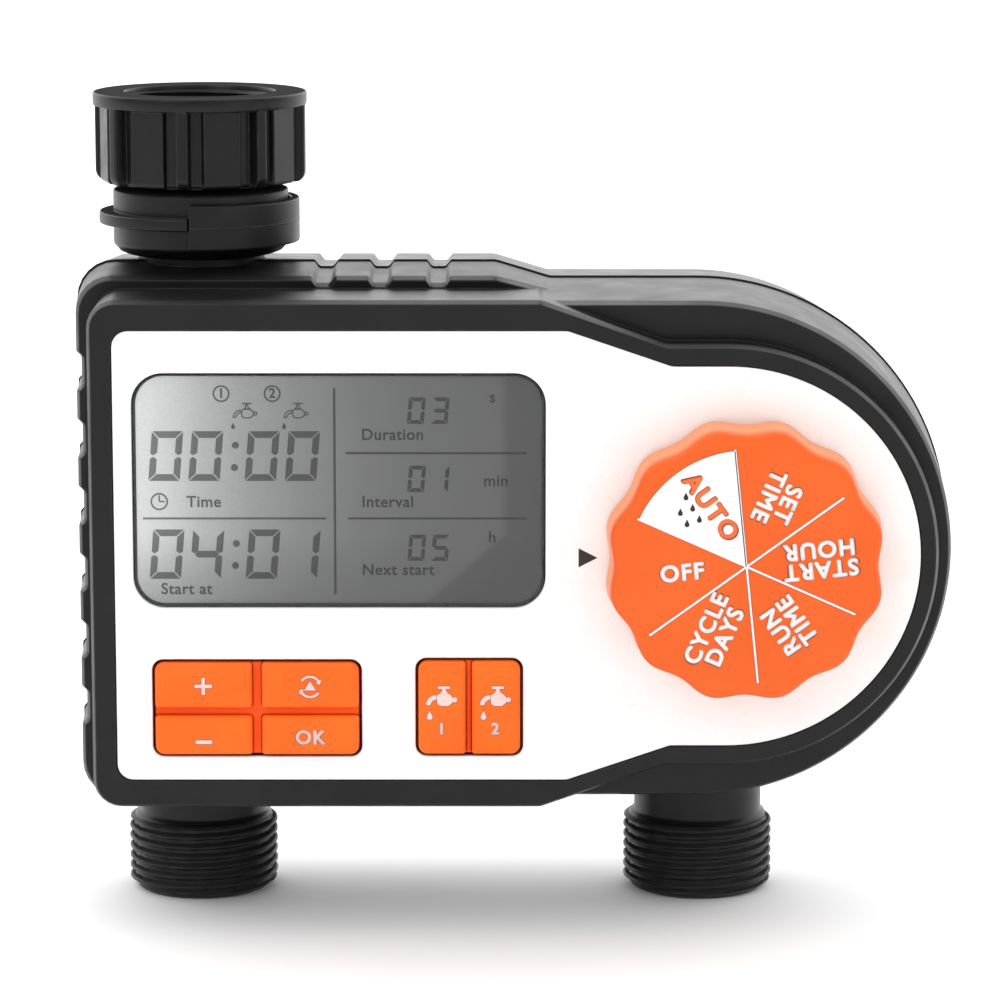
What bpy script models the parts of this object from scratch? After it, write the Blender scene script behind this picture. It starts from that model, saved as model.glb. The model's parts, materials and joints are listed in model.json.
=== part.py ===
"""Two-outlet drip irrigation timer: a flat case that hangs from a garden tap by a swivel nut.

Every size below is in millimetres and becomes metres where a mesh is made.
X runs across the front, Y from the front to the back, Z up. The origin is the centre
of the footprint, on the plane of the two outlets' end faces.
"""

import math

import bmesh
import bpy
from mathutils import Matrix, Vector

MM = 0.001
GAP = 0.3  # clearance between neighbouring pieces
THROUGH = 2.0  # how far a cutter runs past the face that it opens

# Depths of the case's steps, front to back
FACE_Y = -23.25
RIGHT_FLANGE_Y = -17.95
LEFT_FLANGE_Y = -7.25
PARTING_Y = 7.95
BOSS_MEET_Y = 11.75  # where the shells' screw bosses face each other
BACK_Y = 32.75
PORT_Y = 12.75
WALL = 2.2
INSIDE_BACK_Y = BACK_Y - WALL
PARTING_GAP = 0.3

# Front outlines: straight left part, a slope, and a round right end
MID_Z = 66.2
PLATE = {"left": -67.55, "half": 38.6, "corner": 2.7, "slope": (9.05, 26.6), "end": (36.25, 32.6)}
BEZEL = {"left": -71.85, "half": 43.7, "corner": 4.8, "slope": (4.55, 25.75), "end": (35.75, 36.3)}
BODY = {"left": -75.15, "half": 45.8, "corner": 6.6, "slope": (-3.05, 6.2), "end": (31.75, 43.45)}
PARTING = {"left": -76.15, "half": 46.95, "corner": 7.4, "slope": (-3.05, 6.4), "end": (32.05, 44.1)}
ROUND_STEP_RADIUS = 42.9
ROUND_STEP_LEFT = -5.0
EDGE_CHAMFER = 1.0
BACK_DRAFT = 1.7
INNER_DRAFT = 1.2
BACK_ROUND = 1.8
INNER_ROUND = 1.5

# Grip notches in the case's outer edge
TOP_NOTCHES = (-32.55, -22.85, -12.95)
TOP_NOTCH = (4.2, 1.2)
SIDE_NOTCH_PITCH = 11.75
SIDE_NOTCH_COUNT = 6
SIDE_NOTCH = (6.8, 0.9)
NOTCH_SLANT = 0.9

# Front controls
PLATE_THICKNESS = 1.2
PLATE_SEAT_Y = FACE_Y + PLATE_THICKNESS + 0.2
FRONT_WALL_BACK_Y = PLATE_SEAT_Y + 2.0
BOSS_START_Y = FRONT_WALL_BACK_Y - 0.6
WINDOW = ((-64.13, 57.76), (5.08, 97.39))
WINDOW_CORNER = 5.1
WINDOW_LEDGE = 0.8
PAD_4 = ((-61.45, 31.67), (-25.81, 48.58))
PAD_2 = ((-16.71, 31.76), (1.58, 48.84))
PAD_CORNER = 1.9
PAD_BORDER = 0.5
KEY_STAND = 1.2
KEY_STEM_RADIUS = 2.5
PAD_4_SPLIT = (-43.65, 39.6)
PAD_4_GAPS = (1.6, 1.35)
PAD_2_SPLIT = -7.65
PAD_2_GAP = 1.0
DIAL_X = 38.85
DIAL_Z = 66.45
DIAL_RADIUS = 23.4
DIAL_HEIGHT = 9.5
DIAL_LOBES = 12
DIAL_LOBE_DEPTH = 0.6
DIAL_FIRST_LOBE = 15
SHAFT_RADIUS = 3.0
SHAFT_END_Y = -7.5
SEAL_BOSS_RADIUS = 8.0
SEAL_SEAT_RADIUS = 5.5
WIPER_RADIUS = 13.0
PCB_Y = (-11.5, -9.9)

# Ports: inlet above, two outlets below, all on one depth
INLET_X = -54.65
OUTLET_X = (-55.45, 33.0)
NECK_RADIUS = 11.3
INLET_NECK_RADIUS = 11.0
THREAD_RADIUS = 13.22
THREAD_ROOT = 12.06
THREAD_PITCH = 1.814
THREAD_TURNS = 6
OUTLET_BORE = 8.0
FLANGE_Z = (23.0, 27.8)
FLANGE_RADIUS = 12.6
ADAPTER_Z = 108.0
FLANGE_THICKNESS = 1.6
SOCKET_DEPTH = 5.3
NUT_RADIUS = 18.65
NUT_PANEL_RADIUS = 17.4
NUT_GROOVE_RADIUS = 16.9
NUT_Z = (126.4, 142.2)
NUT_SEAT_Z = 129.0
NUT_BAND = 2.3
NUT_RIBS = 8
NUT_FIRST_RIB = -96
NUT_RIB_ANGLES = (3.0, 4.6)
COLLAR_RADIUS = 15.3
COLLAR_RING_RADIUS = 17.75
COLLAR_RING_Z = (119.3, 121.4)
CLIP_RADII = (15.7, 17.25)
CLIP_Z = (116.0, 123.6)
CLIP_LEFT = INLET_X - 0.9
FILTER_SEAT_RADIUS = 10.4

# Valves, lying along X under the inlet and over the right outlet
VALVE_Z = 44.0
CHAMBER_RADIUS = 14.0
VALVE_FACE = (-42.0, 19.55)
VALVE_DIRECTION = (1, -1)
GALLERY_Z = 66.5
FEED_SHIFT = -3.2
PLUNGER_SPRING = (15.8, 21.4)

# Battery bay behind the case's upper middle
TRAY = ((-44.3, 12.9, 73.4), (14.1, 29.0, 106.9))
TRAY_WALL = 1.2
CELL_RADIUS = 7.25
CELL_LENGTH = 50.5
CELL_Y = 21.75
CELL_Z = (82.2, 98.1)
DOOR = ((-43.4, 31.0, 74.9), (24.0, 32.75, 105.6))
HINGE = (-42.4, 31.3)
DOOR_SCREW = (17.6, 90.5)
PIN_RADIUS = 0.7
PIN_REACH = 1.6
GRIP_GROOVES = 5
GRIP_GROOVE_PITCH = 2.2
GASKET = ((-41.0, 75.8), (11.0, 104.8))
GASKET_WIDTH = 1.4
GASKET_Y = 29.4

# Screws, and the bosses they go into
SCREWS = ((-68.7, 99.5), (-68.7, 30.0), (29.5, 98.5), (8.0, 28.4), (67.5, 66.2))
SCREW_SEAT_Y = 17.0
SCREW_PILOT_Y = 3.0
PCB_SCREWS = ((-52.0, 54.2), (12.5, 54.2))
PCB_PILOT_Y = -17.0
LEAD_RADIUS = 0.6
LEAD_ENTRY_Z = 49.5


# --- building blocks -------------------------------------------------------------------


def new_collection(name):
    made = bpy.data.collections.new(name)
    bpy.context.scene.collection.children.link(made)
    return made


def material(name, colour, roughness, metallic=0.0):
    made = bpy.data.materials.new(name)
    made.use_nodes = True
    shader = made.node_tree.nodes["Principled BSDF"]
    shader.inputs["Base Color"].default_value = (*colour, 1.0)
    shader.inputs["Roughness"].default_value = roughness
    shader.inputs["Metallic"].default_value = metallic
    return made


def metres(point):
    return Vector(point) * MM


def object_from(name, bm, centre):
    """A new part from a bmesh in millimetres about its own centre."""
    bmesh.ops.scale(bm, vec=(MM, MM, MM), verts=bm.verts)
    bmesh.ops.recalc_face_normals(bm, faces=bm.faces)
    mesh = bpy.data.meshes.new(name)
    bm.to_mesh(mesh)
    bm.free()
    made = bpy.data.objects.new(name, mesh)
    made.location = metres(centre)
    parts.objects.link(made)
    return made


def box(name, low, high, bevel=0.0):
    low, high = Vector(low), Vector(high)
    bm = bmesh.new()
    bmesh.ops.create_cube(bm, size=1.0)
    bmesh.ops.scale(bm, vec=high - low, verts=bm.verts)
    made = object_from(name, bm, (low + high) / 2)
    if bevel:
        rounding = made.modifiers.new("Rounding", "BEVEL")
        rounding.width = bevel * MM
        rounding.segments = 2
    return made


def rod(name, start, end, radius, sides=20):
    """A cylinder from one point to another."""
    start, end = Vector(start), Vector(end)
    along = end - start
    bm = bmesh.new()
    bmesh.ops.create_cone(
        bm, cap_ends=True, segments=sides, radius1=radius, radius2=radius, depth=along.length
    )
    turn = Vector((0, 0, 1)).rotation_difference(along).to_matrix()
    bmesh.ops.rotate(bm, cent=(0, 0, 0), matrix=turn, verts=bm.verts)
    return object_from(name, bm, (start + end) / 2)


def loft(name, sections):
    """A closed solid through outlines in the XZ plane, each a (depth, points) pair."""
    bm = bmesh.new()
    rings = [[bm.verts.new((x, depth, z)) for x, z in points] for depth, points in sections]
    for ring, following in zip(rings, rings[1:]):
        for i in range(len(ring)):
            j = (i + 1) % len(ring)
            bm.faces.new((ring[i], ring[j], following[j], following[i]))
    bm.faces.new(rings[0])
    bm.faces.new(reversed(rings[-1]))
    return object_from(name, bm, (0, 0, 0))


def flat(name, outlines, y_range):
    """A flat piece in the XZ plane from a filled curve; outlines inside the first are holes."""
    near, far = y_range
    curve = bpy.data.curves.new(name, "CURVE")
    curve.dimensions = "2D"
    curve.fill_mode = "BOTH"
    curve.extrude = (far - near) / 2 * MM
    for points in outlines:
        spline = curve.splines.new("POLY")
        spline.points.add(len(points) - 1)
        for target, (x, z) in zip(spline.points, points):
            target.co = (x * MM, z * MM, 0.0, 1.0)
        spline.use_cyclic_u = True
    upright = Matrix.Rotation(math.radians(90), 4, "X")
    return solid_from_curve(name, curve, Matrix.Translation(metres((0, (near + far) / 2, 0))) @ upright)


def solid_from_curve(name, curve, matrix):
    """A curve's evaluated shape as a mesh with its caps welded on."""
    drawn = bpy.data.objects.new(name + "_curve", curve)
    parts.objects.link(drawn)
    drawn.matrix_world = matrix
    bpy.context.view_layer.update()
    mesh = bpy.data.meshes.new_from_object(drawn.evaluated_get(bpy.context.evaluated_depsgraph_get()))
    bm = bmesh.new()
    bm.from_mesh(mesh)
    bmesh.ops.remove_doubles(bm, verts=bm.verts, dist=0.001 * MM)
    bmesh.ops.recalc_face_normals(bm, faces=bm.faces)
    bm.to_mesh(mesh)
    bm.free()
    made = bpy.data.objects.new(name, mesh)
    made.matrix_world = drawn.matrix_world.copy()
    parts.objects.link(made)
    bpy.data.objects.remove(drawn)
    bpy.data.curves.remove(curve)
    return made


def turned(name, profile, centre, axis="Z", steps=24, ring=False):
    """A turned piece from a (radius, height) profile that runs down its outer side."""
    bm = bmesh.new()
    points = [bm.verts.new((radius * MM, 0, height * MM)) for radius, height in profile]
    for a, b in zip(points, points[1:]):
        bm.edges.new((a, b))
    if ring:
        bm.edges.new((points[-1], points[0]))
    mesh = bpy.data.meshes.new(name)
    bm.to_mesh(mesh)
    bm.free()
    made = bpy.data.objects.new(name, mesh)
    made.location = metres(centre)
    turns = {"Z": (0, 0, 0), "X": (0, math.radians(90), 0), "Y": (math.radians(-90), 0, 0)}
    made.rotation_euler = turns[axis]
    parts.objects.link(made)
    screw = made.modifiers.new("Turn", "SCREW")
    screw.steps = steps
    screw.render_steps = steps
    screw.use_merge_vertices = True
    screw.merge_threshold = 0.01 * MM
    return made


def ring_profile(inner, outer, low, high):
    return [(outer, high), (outer, low), (inner, low), (inner, high)]


def wire(name, points, radius):
    """A thin tube along straight runs between points."""
    curve = bpy.data.curves.new(name, "CURVE")
    curve.dimensions = "3D"
    curve.bevel_depth = radius * MM
    curve.bevel_resolution = 1
    curve.use_fill_caps = True
    spline = curve.splines.new("POLY")
    spline.points.add(len(points) - 1)
    for target, point in zip(spline.points, points):
        target.co = (*metres(point), 1.0)
    return solid_from_curve(name, curve, Matrix.Identity(4))


def combine(target, other, operation):
    step = target.modifiers.new(operation.title(), "BOOLEAN")
    step.operation = operation
    step.object = other
    parts.objects.unlink(other)
    cutters.objects.link(other)
    other.hide_render = True
    other.display_type = "WIRE"
    return target


def cut(target, *others):
    for other in others:
        combine(target, other, "DIFFERENCE")
    return target


def join(target, *others):
    for other in others:
        combine(target, other, "UNION")
    return target


def finish(made, look, parent=None):
    """Gives a part its material, smooth shading and, if it moves with others, its parent."""
    made.data.materials.append(look)
    made.data.shade_smooth()
    made.data.set_sharp_from_angle(angle=math.radians(35))
    if parent:
        made.parent = parent
        made.matrix_parent_inverse = Matrix.Translation(parent.location).inverted()
    return made


def joint_axis(name, point):
    """An empty on a joint's axis, to carry the pieces that move together."""
    empty = bpy.data.objects.new(name, None)
    empty.location = metres(point)
    empty.empty_display_size = 10 * MM
    parts.objects.link(empty)
    return empty


# --- outlines --------------------------------------------------------------------------


def arc(centre, radius, first, last, steps):
    """Points along an arc, its angles in degrees counter-clockwise from +X."""
    angles = [math.radians(first + (last - first) * i / steps) for i in range(steps + 1)]
    return [(centre[0] + radius * math.cos(a), centre[1] + radius * math.sin(a)) for a in angles]


def rounded_box(low, high, radius, inset=0.0, steps=3):
    left, bottom, right, top = low[0] + inset, low[1] + inset, high[0] - inset, high[1] - inset
    radius = max(radius - inset, 0.3)
    corners = (
        ((right - radius, top - radius), 0),
        ((left + radius, top - radius), 90),
        ((left + radius, bottom + radius), 180),
        ((right - radius, bottom + radius), 270),
    )
    return [p for centre, first in corners for p in arc(centre, radius, first, first + 90, steps)]


def notch(position, edge, size, along):
    """Four points of a slanted notch: position runs along the edge, whose far side is 'edge'."""
    width, depth = size
    inner = edge - math.copysign(depth, edge)
    steps = ((-width / 2, edge), (-width / 2 + NOTCH_SLANT, inner))
    steps += ((width / 2 - NOTCH_SLANT, inner), (width / 2, edge))
    return [(position + along * offset, level) for offset, level in steps]


def case_outline(shape, inset=0.0, notched=False):
    """The case's outline, counter-clockwise from the top of the round end."""
    left, half = shape["left"] + inset, shape["half"] - inset
    corner = max(shape["corner"] - inset, 0.6)
    slope_start, slope_end = (x - 0.16 * inset for x in shape["slope"])
    end_x, end_radius = shape["end"][0], shape["end"][1] - inset
    points = [(end_x, end_radius), (slope_end, end_radius), (slope_start, half)]
    if notched:
        for x in reversed(TOP_NOTCHES):
            points += notch(x, half, TOP_NOTCH, -1)
    points += arc((left + corner, half - corner), corner, 90, 180, 4)
    if notched:
        for i in range(SIDE_NOTCH_COUNT):
            z = SIDE_NOTCH_PITCH * ((SIDE_NOTCH_COUNT - 1) / 2 - i)
            points += [(level, -z_at) for z_at, level in notch(-z, left, SIDE_NOTCH, 1)]
    points += arc((left + corner, corner - half), corner, 180, 270, 4)
    if notched:
        for x in TOP_NOTCHES:
            points += notch(x, -half, TOP_NOTCH, 1)
    points += [(slope_start, -half), (slope_end, -end_radius), (end_x, -end_radius)]
    points += arc((end_x, 0), end_radius, -90, 90, 16)[1:-1]
    return [(x, z + MID_Z) for x, z in points]


def round_end_outline(radius):
    """The D-shaped step around the dial."""
    end_x = BODY["end"][0]
    points = [(end_x, radius), (ROUND_STEP_LEFT, radius), (ROUND_STEP_LEFT, -radius), (end_x, -radius)]
    points += arc((end_x, 0), radius, -90, 90, 16)[1:-1]
    return [(x, z + MID_Z) for x, z in points]


def circle(centre, radius, steps=24):
    return arc(centre, radius, 0, 360, steps)[:-1]


def scalloped(centre, radius, lobes, depth, steps_per_lobe=4, first_lobe=0):
    """A round outline with smooth lobes whose tips lie on the radius, the first at an angle."""
    count = lobes * steps_per_lobe
    points = []
    for i in range(count):
        turn = math.tau * i / count
        angle = turn + math.radians(first_lobe)
        reach = radius - depth * (1 - math.cos(lobes * turn))
        points.append((centre[0] + reach * math.cos(angle), centre[1] + reach * math.sin(angle)))
    return points


# --- case ------------------------------------------------------------------------------


def make_front_shell():
    rim = PARTING_Y - PARTING_GAP / 2
    shell = loft(
        "front_shell",
        [
            (LEFT_FLANGE_Y, case_outline(BODY, EDGE_CHAMFER, True)),
            (LEFT_FLANGE_Y + EDGE_CHAMFER, case_outline(BODY, 0, True)),
            (rim, case_outline(PARTING, 0, True)),
        ],
    )
    join(
        shell,
        loft(
            "round_end_step",
            [
                (RIGHT_FLANGE_Y, round_end_outline(ROUND_STEP_RADIUS - EDGE_CHAMFER)),
                (RIGHT_FLANGE_Y + EDGE_CHAMFER, round_end_outline(ROUND_STEP_RADIUS)),
                (LEFT_FLANGE_Y + THROUGH, round_end_outline(BODY["end"][1] - 0.1)),
            ],
        ),
        loft(
            "bezel_step",
            [
                (FACE_Y, case_outline(BEZEL, EDGE_CHAMFER)),
                (FACE_Y + EDGE_CHAMFER, case_outline(BEZEL)),
                (LEFT_FLANGE_Y + THROUGH, case_outline(BEZEL)),
            ],
        ),
    )
    open_back = rim + THROUGH
    plate_room = (FACE_Y - THROUGH, PLATE_SEAT_Y)
    cut(
        shell,
        loft("bezel_hollow", [(y, case_outline(BEZEL, WALL)) for y in (FRONT_WALL_BACK_Y, open_back)]),
        loft(
            "round_end_hollow",
            [
                (RIGHT_FLANGE_Y + WALL, round_end_outline(ROUND_STEP_RADIUS - WALL)),
                (open_back, round_end_outline(ROUND_STEP_RADIUS - WALL)),
            ],
        ),
        loft(
            "body_hollow",
            [
                (LEFT_FLANGE_Y + WALL, case_outline(BODY, WALL)),
                (open_back, case_outline(PARTING, WALL)),
            ],
        ),
        flat("plate_recess", [case_outline(PLATE, -0.2)], plate_room),
    )
    near, far = PLATE_SEAT_Y - THROUGH, FRONT_WALL_BACK_Y + THROUGH
    seal_boss_end = BOSS_START_Y + 4.0

    def on_dial(name, start, end, radius):
        return rod(name, (DIAL_X, start, DIAL_Z), (DIAL_X, end, DIAL_Z), radius, 16)

    join(shell, on_dial("seal_boss", BOSS_START_Y, seal_boss_end, SEAL_BOSS_RADIUS))
    boss_end = BOSS_MEET_Y - PARTING_GAP / 2
    for i, (x, z) in enumerate(SCREWS):
        join(shell, rod(f"front_boss_{i}", (x, BOSS_START_Y, z), (x, boss_end, z), 3.0, 10))
    for i, (x, z) in enumerate(PCB_SCREWS):
        join(shell, rod(f"board_post_{i}", (x, BOSS_START_Y, z), (x, PCB_Y[0] - GAP, z), 2.6, 10))
    cut(
        shell,
        flat("window_hole", [rounded_box(*WINDOW, WINDOW_CORNER, WINDOW_LEDGE)], (near, far)),
        flat("pad_4_hole", [rounded_box(*PAD_4, PAD_CORNER)], (near, far)),
        flat("pad_2_hole", [rounded_box(*PAD_2, PAD_CORNER)], (near, far)),
        on_dial("shaft_hole", near, seal_boss_end + THROUGH, SHAFT_RADIUS + GAP),
        on_dial("seal_seat", near, BOSS_START_Y + 1.0, SEAL_SEAT_RADIUS),
    )
    for i, (x, z) in enumerate(SCREWS):
        cut(shell, rod(f"pilot_{i}", (x, SCREW_PILOT_Y, z), (x, boss_end + THROUGH, z), 1.65, 8))
    for i, (x, z) in enumerate(PCB_SCREWS):
        cut(shell, rod(f"board_pilot_{i}", (x, PCB_PILOT_Y, z), (x, PCB_Y[0] + THROUGH, z), 1.25, 8))
    cut(shell, *port_holes("front"))
    finish(shell, LOOKS["case"])


def port_holes(side):
    """Cutters for the three round openings that the two shells share."""
    bottom = MID_Z - PARTING["half"] - THROUGH
    top = MID_Z + PARTING["half"] + THROUGH
    holes = [
        rod(f"{side}_outlet_hole_{i}", (x, PORT_Y, bottom), (x, PORT_Y, bottom + 14), NECK_RADIUS + GAP, 24)
        for i, x in enumerate(OUTLET_X)
    ]
    inlet = (INLET_X, PORT_Y, top - 10), (INLET_X, PORT_Y, top)
    holes.append(rod(f"{side}_inlet_hole", *inlet, INLET_NECK_RADIUS + GAP, 24))
    return holes


def make_rear_shell():
    rim = PARTING_Y + PARTING_GAP / 2
    shoulder = BACK_Y - BACK_ROUND
    shell = loft(
        "rear_shell",
        [
            (rim, case_outline(PARTING, 0, True)),
            (shoulder, case_outline(PARTING, BACK_DRAFT, True)),
            (BACK_Y - BACK_ROUND / 4, case_outline(PARTING, BACK_DRAFT + BACK_ROUND / 2, True)),
            (BACK_Y, case_outline(PARTING, BACK_DRAFT + BACK_ROUND, True)),
        ],
    )
    cut(
        shell,
        loft(
            "rear_hollow",
            [
                (rim - THROUGH, case_outline(PARTING, WALL)),
                (INSIDE_BACK_Y - INNER_ROUND, case_outline(PARTING, WALL + INNER_DRAFT)),
                (INSIDE_BACK_Y, case_outline(PARTING, WALL + INNER_DRAFT + INNER_ROUND)),
            ],
        ),
    )
    boss_start = BOSS_MEET_Y + PARTING_GAP / 2
    for i, (x, z) in enumerate(SCREWS):
        join(shell, rod(f"rear_boss_{i}", (x, boss_start, z), (x, INSIDE_BACK_Y + GAP, z), 4.2, 12))
    hinge_x, hinge_y = HINGE
    low_z, high_z = DOOR[0][2], DOOR[1][2]
    for side, block_low, block_high in (
        ("low", low_z - 4.0, low_z - 0.7),
        ("top", high_z + 0.7, high_z + 2.4),
    ):
        near = (hinge_x - 2.4, INSIDE_BACK_Y - 1.4, block_low)
        far = (hinge_x + 2.6, INSIDE_BACK_Y + 0.8, block_high)
        join(shell, box(f"hinge_block_{side}", near, far))
    opening_low = (DOOR[0][0] - 1.0, low_z - GAP)
    opening_high = (DOOR[1][0] + GAP, high_z + GAP)
    opening = rounded_box(opening_low, opening_high, 0.8, steps=2)
    cut(
        shell,
        flat("door_opening", [opening], (INSIDE_BACK_Y - 1.0, BACK_Y + THROUGH)),
        rod("hinge_pocket", (hinge_x, hinge_y, low_z - 2.0), (hinge_x, hinge_y, high_z + 2.0), 1.0, 12),
    )
    for i, (x, z) in enumerate(SCREWS):
        cut(
            shell,
            rod(f"screw_hole_{i}", (x, boss_start - THROUGH, z), (x, BACK_Y, z), 1.75, 8),
            rod(f"screw_sink_{i}", (x, SCREW_SEAT_Y, z), (x, BACK_Y + THROUGH, z), 3.3, 12),
        )
    cut(shell, *port_holes("rear"))
    finish(shell, LOOKS["case"])


def make_housing_screws():
    """Screws whose profiles are measured from the seat under their heads."""
    for i, (x, z) in enumerate(SCREWS):
        profile = [(0, 2.3), (2.4, 2.3), (2.9, 1.6), (2.9, 0.3), (1.35, 0.3), (1.35, -12.6), (0, -13.4)]
        screw = turned(f"housing_screw_{i + 1}", profile, (x, SCREW_SEAT_Y, z), "Y", 8)
        slot_y = SCREW_SEAT_Y + 1.4
        slot = (x - 2.0, slot_y, z - 0.4), (x + 2.0, slot_y + THROUGH, z + 0.4)
        cut(screw, box(f"screw_slot_{i}", *slot))
        finish(screw, LOOKS["steel"])


# --- front controls --------------------------------------------------------------------


def make_face_plate():
    outlines = [
        case_outline(PLATE),
        rounded_box(*WINDOW, WINDOW_CORNER, -GAP, steps=5),
        rounded_box(*PAD_4, PAD_CORNER),
        rounded_box(*PAD_2, PAD_CORNER),
        circle((DIAL_X, DIAL_Z), 6.0),
    ]
    plate = flat("face_plate", outlines, (FACE_Y, FACE_Y + PLATE_THICKNESS))
    finish(plate, LOOKS["plate"])


def make_display():
    window = [rounded_box(*WINDOW, WINDOW_CORNER, steps=5)]
    finish(flat("lcd_window", window, (FACE_Y, FACE_Y + PLATE_THICKNESS)), LOOKS["window"])
    (left, low), (right, top) = WINDOW
    glass_y = (FRONT_WALL_BACK_Y + GAP, FRONT_WALL_BACK_Y + GAP + 1.9)
    panel = box("lcd_panel", (left - 0.8, glass_y[0], low + 0.4), (right + 0.8, glass_y[1], top - 0.4))
    finish(panel, LOOKS["lcd"])
    frame_y = (glass_y[1] + GAP, PCB_Y[0] - GAP)
    frame = [
        rounded_box((left - 1.3, low - 0.5), (right + 2.2, top + 0.6), 1.5),
        rounded_box((left + 3.0, low + 4.0), (right - 3.0, top - 4.0), 1.0),
    ]
    holder = flat("lcd_holder", frame, frame_y)
    slot_z = low + 0.6
    first, last, height = left + 5.0, right - 5.0, 1.8
    room = (first - GAP, frame_y[0] - 1, slot_z - GAP), (last + GAP, frame_y[1] + 1, slot_z + height + GAP)
    cut(holder, box("strip_slot", *room))
    finish(holder, LOOKS["pale"])
    strip = box("lcd_connector", (first, frame_y[0], slot_z), (last, frame_y[1] + 0.1, slot_z + height))
    finish(strip, LOOKS["strip"])


def pad_cells():
    """Each key's name and the low and high corners of its face."""
    (left, low), (right, top) = PAD_4
    left, low, right, top = left + PAD_BORDER, low + PAD_BORDER, right - PAD_BORDER, top - PAD_BORDER
    split_x, split_z = PAD_4_SPLIT
    half_x, half_z = PAD_4_GAPS[0] / 2, PAD_4_GAPS[1] / 2
    cells = {
        "key_plus": ((left, split_z + half_z), (split_x - half_x, top)),
        "key_cycle": ((split_x + half_x, split_z + half_z), (right, top)),
        "key_minus": ((left, low), (split_x - half_x, split_z - half_z)),
        "key_ok": ((split_x + half_x, low), (right, split_z - half_z)),
    }
    (left, low), (right, top) = PAD_2
    left, low, right, top = left + PAD_BORDER, low + PAD_BORDER, right - PAD_BORDER, top - PAD_BORDER
    cells["key_zone_1"] = ((left, low), (PAD_2_SPLIT - PAD_2_GAP / 2, top))
    cells["key_zone_2"] = ((PAD_2_SPLIT + PAD_2_GAP / 2, low), (right, top))
    return cells


def make_keypad():
    sheet_front = FRONT_WALL_BACK_Y + GAP
    sheet_back = sheet_front + 1.2
    sheet_low = (PAD_4[0][0] - 2.55, sheet_front, PAD_4[0][1] - 2.87)
    sheet_high = (PAD_2[1][0] + 2.82, sheet_back, PAD_2[1][1] + 2.36)
    sheet = box("keypad_sheet", sheet_low, sheet_high)
    for i, pad in enumerate((PAD_4, PAD_2)):
        mesa = [rounded_box(*pad, PAD_CORNER, GAP / 2)]
        join(sheet, flat(f"mesa_{i}", mesa, (FACE_Y + 0.5, sheet_front + 0.6)))
    stem_end = PCB_Y[0] - 1.1
    for name, (low, high) in pad_cells().items():
        roomy = (low[0] - GAP, FACE_Y - 1, low[1] - GAP), (high[0] + GAP, sheet_front + 2, high[1] + GAP)
        cut(sheet, box(f"{name}_hole", *roomy))
        face_y = FACE_Y - KEY_STAND
        key = box(name, (low[0], face_y, low[1]), (high[0], sheet_back, high[1]), 0.5)
        x, z = (low[0] + high[0]) / 2, (low[1] + high[1]) / 2
        join(key, rod(f"{name}_stem", (x, sheet_front, z), (x, stem_end, z), KEY_STEM_RADIUS, 12))
        finish(key, LOOKS["key"])
    finish(sheet, LOOKS["web"])


def make_dial():
    axis = joint_axis("dial_axis", (DIAL_X, FACE_Y, DIAL_Z))
    centre = (DIAL_X, DIAL_Z)
    back, front = FACE_Y - 0.5, FACE_Y - DIAL_HEIGHT
    face, waist, skirt = (
        scalloped(centre, DIAL_RADIUS - inset, DIAL_LOBES, DIAL_LOBE_DEPTH, 4, DIAL_FIRST_LOBE)
        for inset in (1.4, 0.5, 0.0)
    )
    dial = loft("program_dial", [(front, face), (front + 1.1, waist), (back, skirt)])
    hollow = ring_profile(5.2, 19.5, back - 6.2, back + THROUGH)
    bore_end = (DIAL_X, front + 2.2, DIAL_Z)
    cut(
        dial,
        turned("dial_hollow", hollow, (DIAL_X, 0, DIAL_Z), "Y", 24, True),
        rod("dial_bore", bore_end, (DIAL_X, back + THROUGH, DIAL_Z), SHAFT_RADIUS + GAP, 16),
    )
    finish(dial, LOOKS["dial"], axis)
    shaft_ends = (DIAL_X, front + 2.6, DIAL_Z), (DIAL_X, SHAFT_END_Y, DIAL_Z)
    shaft = rod("dial_shaft", *shaft_ends, SHAFT_RADIUS, 16)
    finish(shaft, LOOKS["pale"], axis)
    seal_y = FACE_Y + PLATE_THICKNESS + 1.3
    seal = turned("dial_seal", o_ring(3.3, 5.2), (DIAL_X, seal_y, DIAL_Z), "Y", 12, True)
    finish(seal, LOOKS["seal"])
    disc = flat(
        "wiper_disc",
        [scalloped(centre, WIPER_RADIUS, 6, 0.5), circle(centre, SHAFT_RADIUS + GAP, 16)],
        (-15.6, -13.4),
    )
    finish(disc, LOOKS["pale"], axis)
    lobed = scalloped(centre, 11.0, 3, 0.8, 6)
    finish(flat("wiper_contact", [lobed, circle(centre, 7.0, 16)], (-13.1, -12.6)), LOOKS["brass"], axis)
    x = DIAL_X + WIPER_RADIUS
    leaf = [(x + 2.6, DIAL_Z - 9), (x + 3.0, DIAL_Z - 9), (x + 0.9, DIAL_Z), (x + 3.0, DIAL_Z + 9)]
    leaf += [(x + 2.6, DIAL_Z + 9), (x + 0.4, DIAL_Z)]
    finish(flat("detent_spring", [leaf], (-15.4, -12.0)), LOOKS["spring"])


def o_ring(inner, outer):
    """A round cord's section, six-sided, about its own middle height."""
    return arc(((inner + outer) / 2, 0), (outer - inner) / 2, 0, -300, 5)


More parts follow.
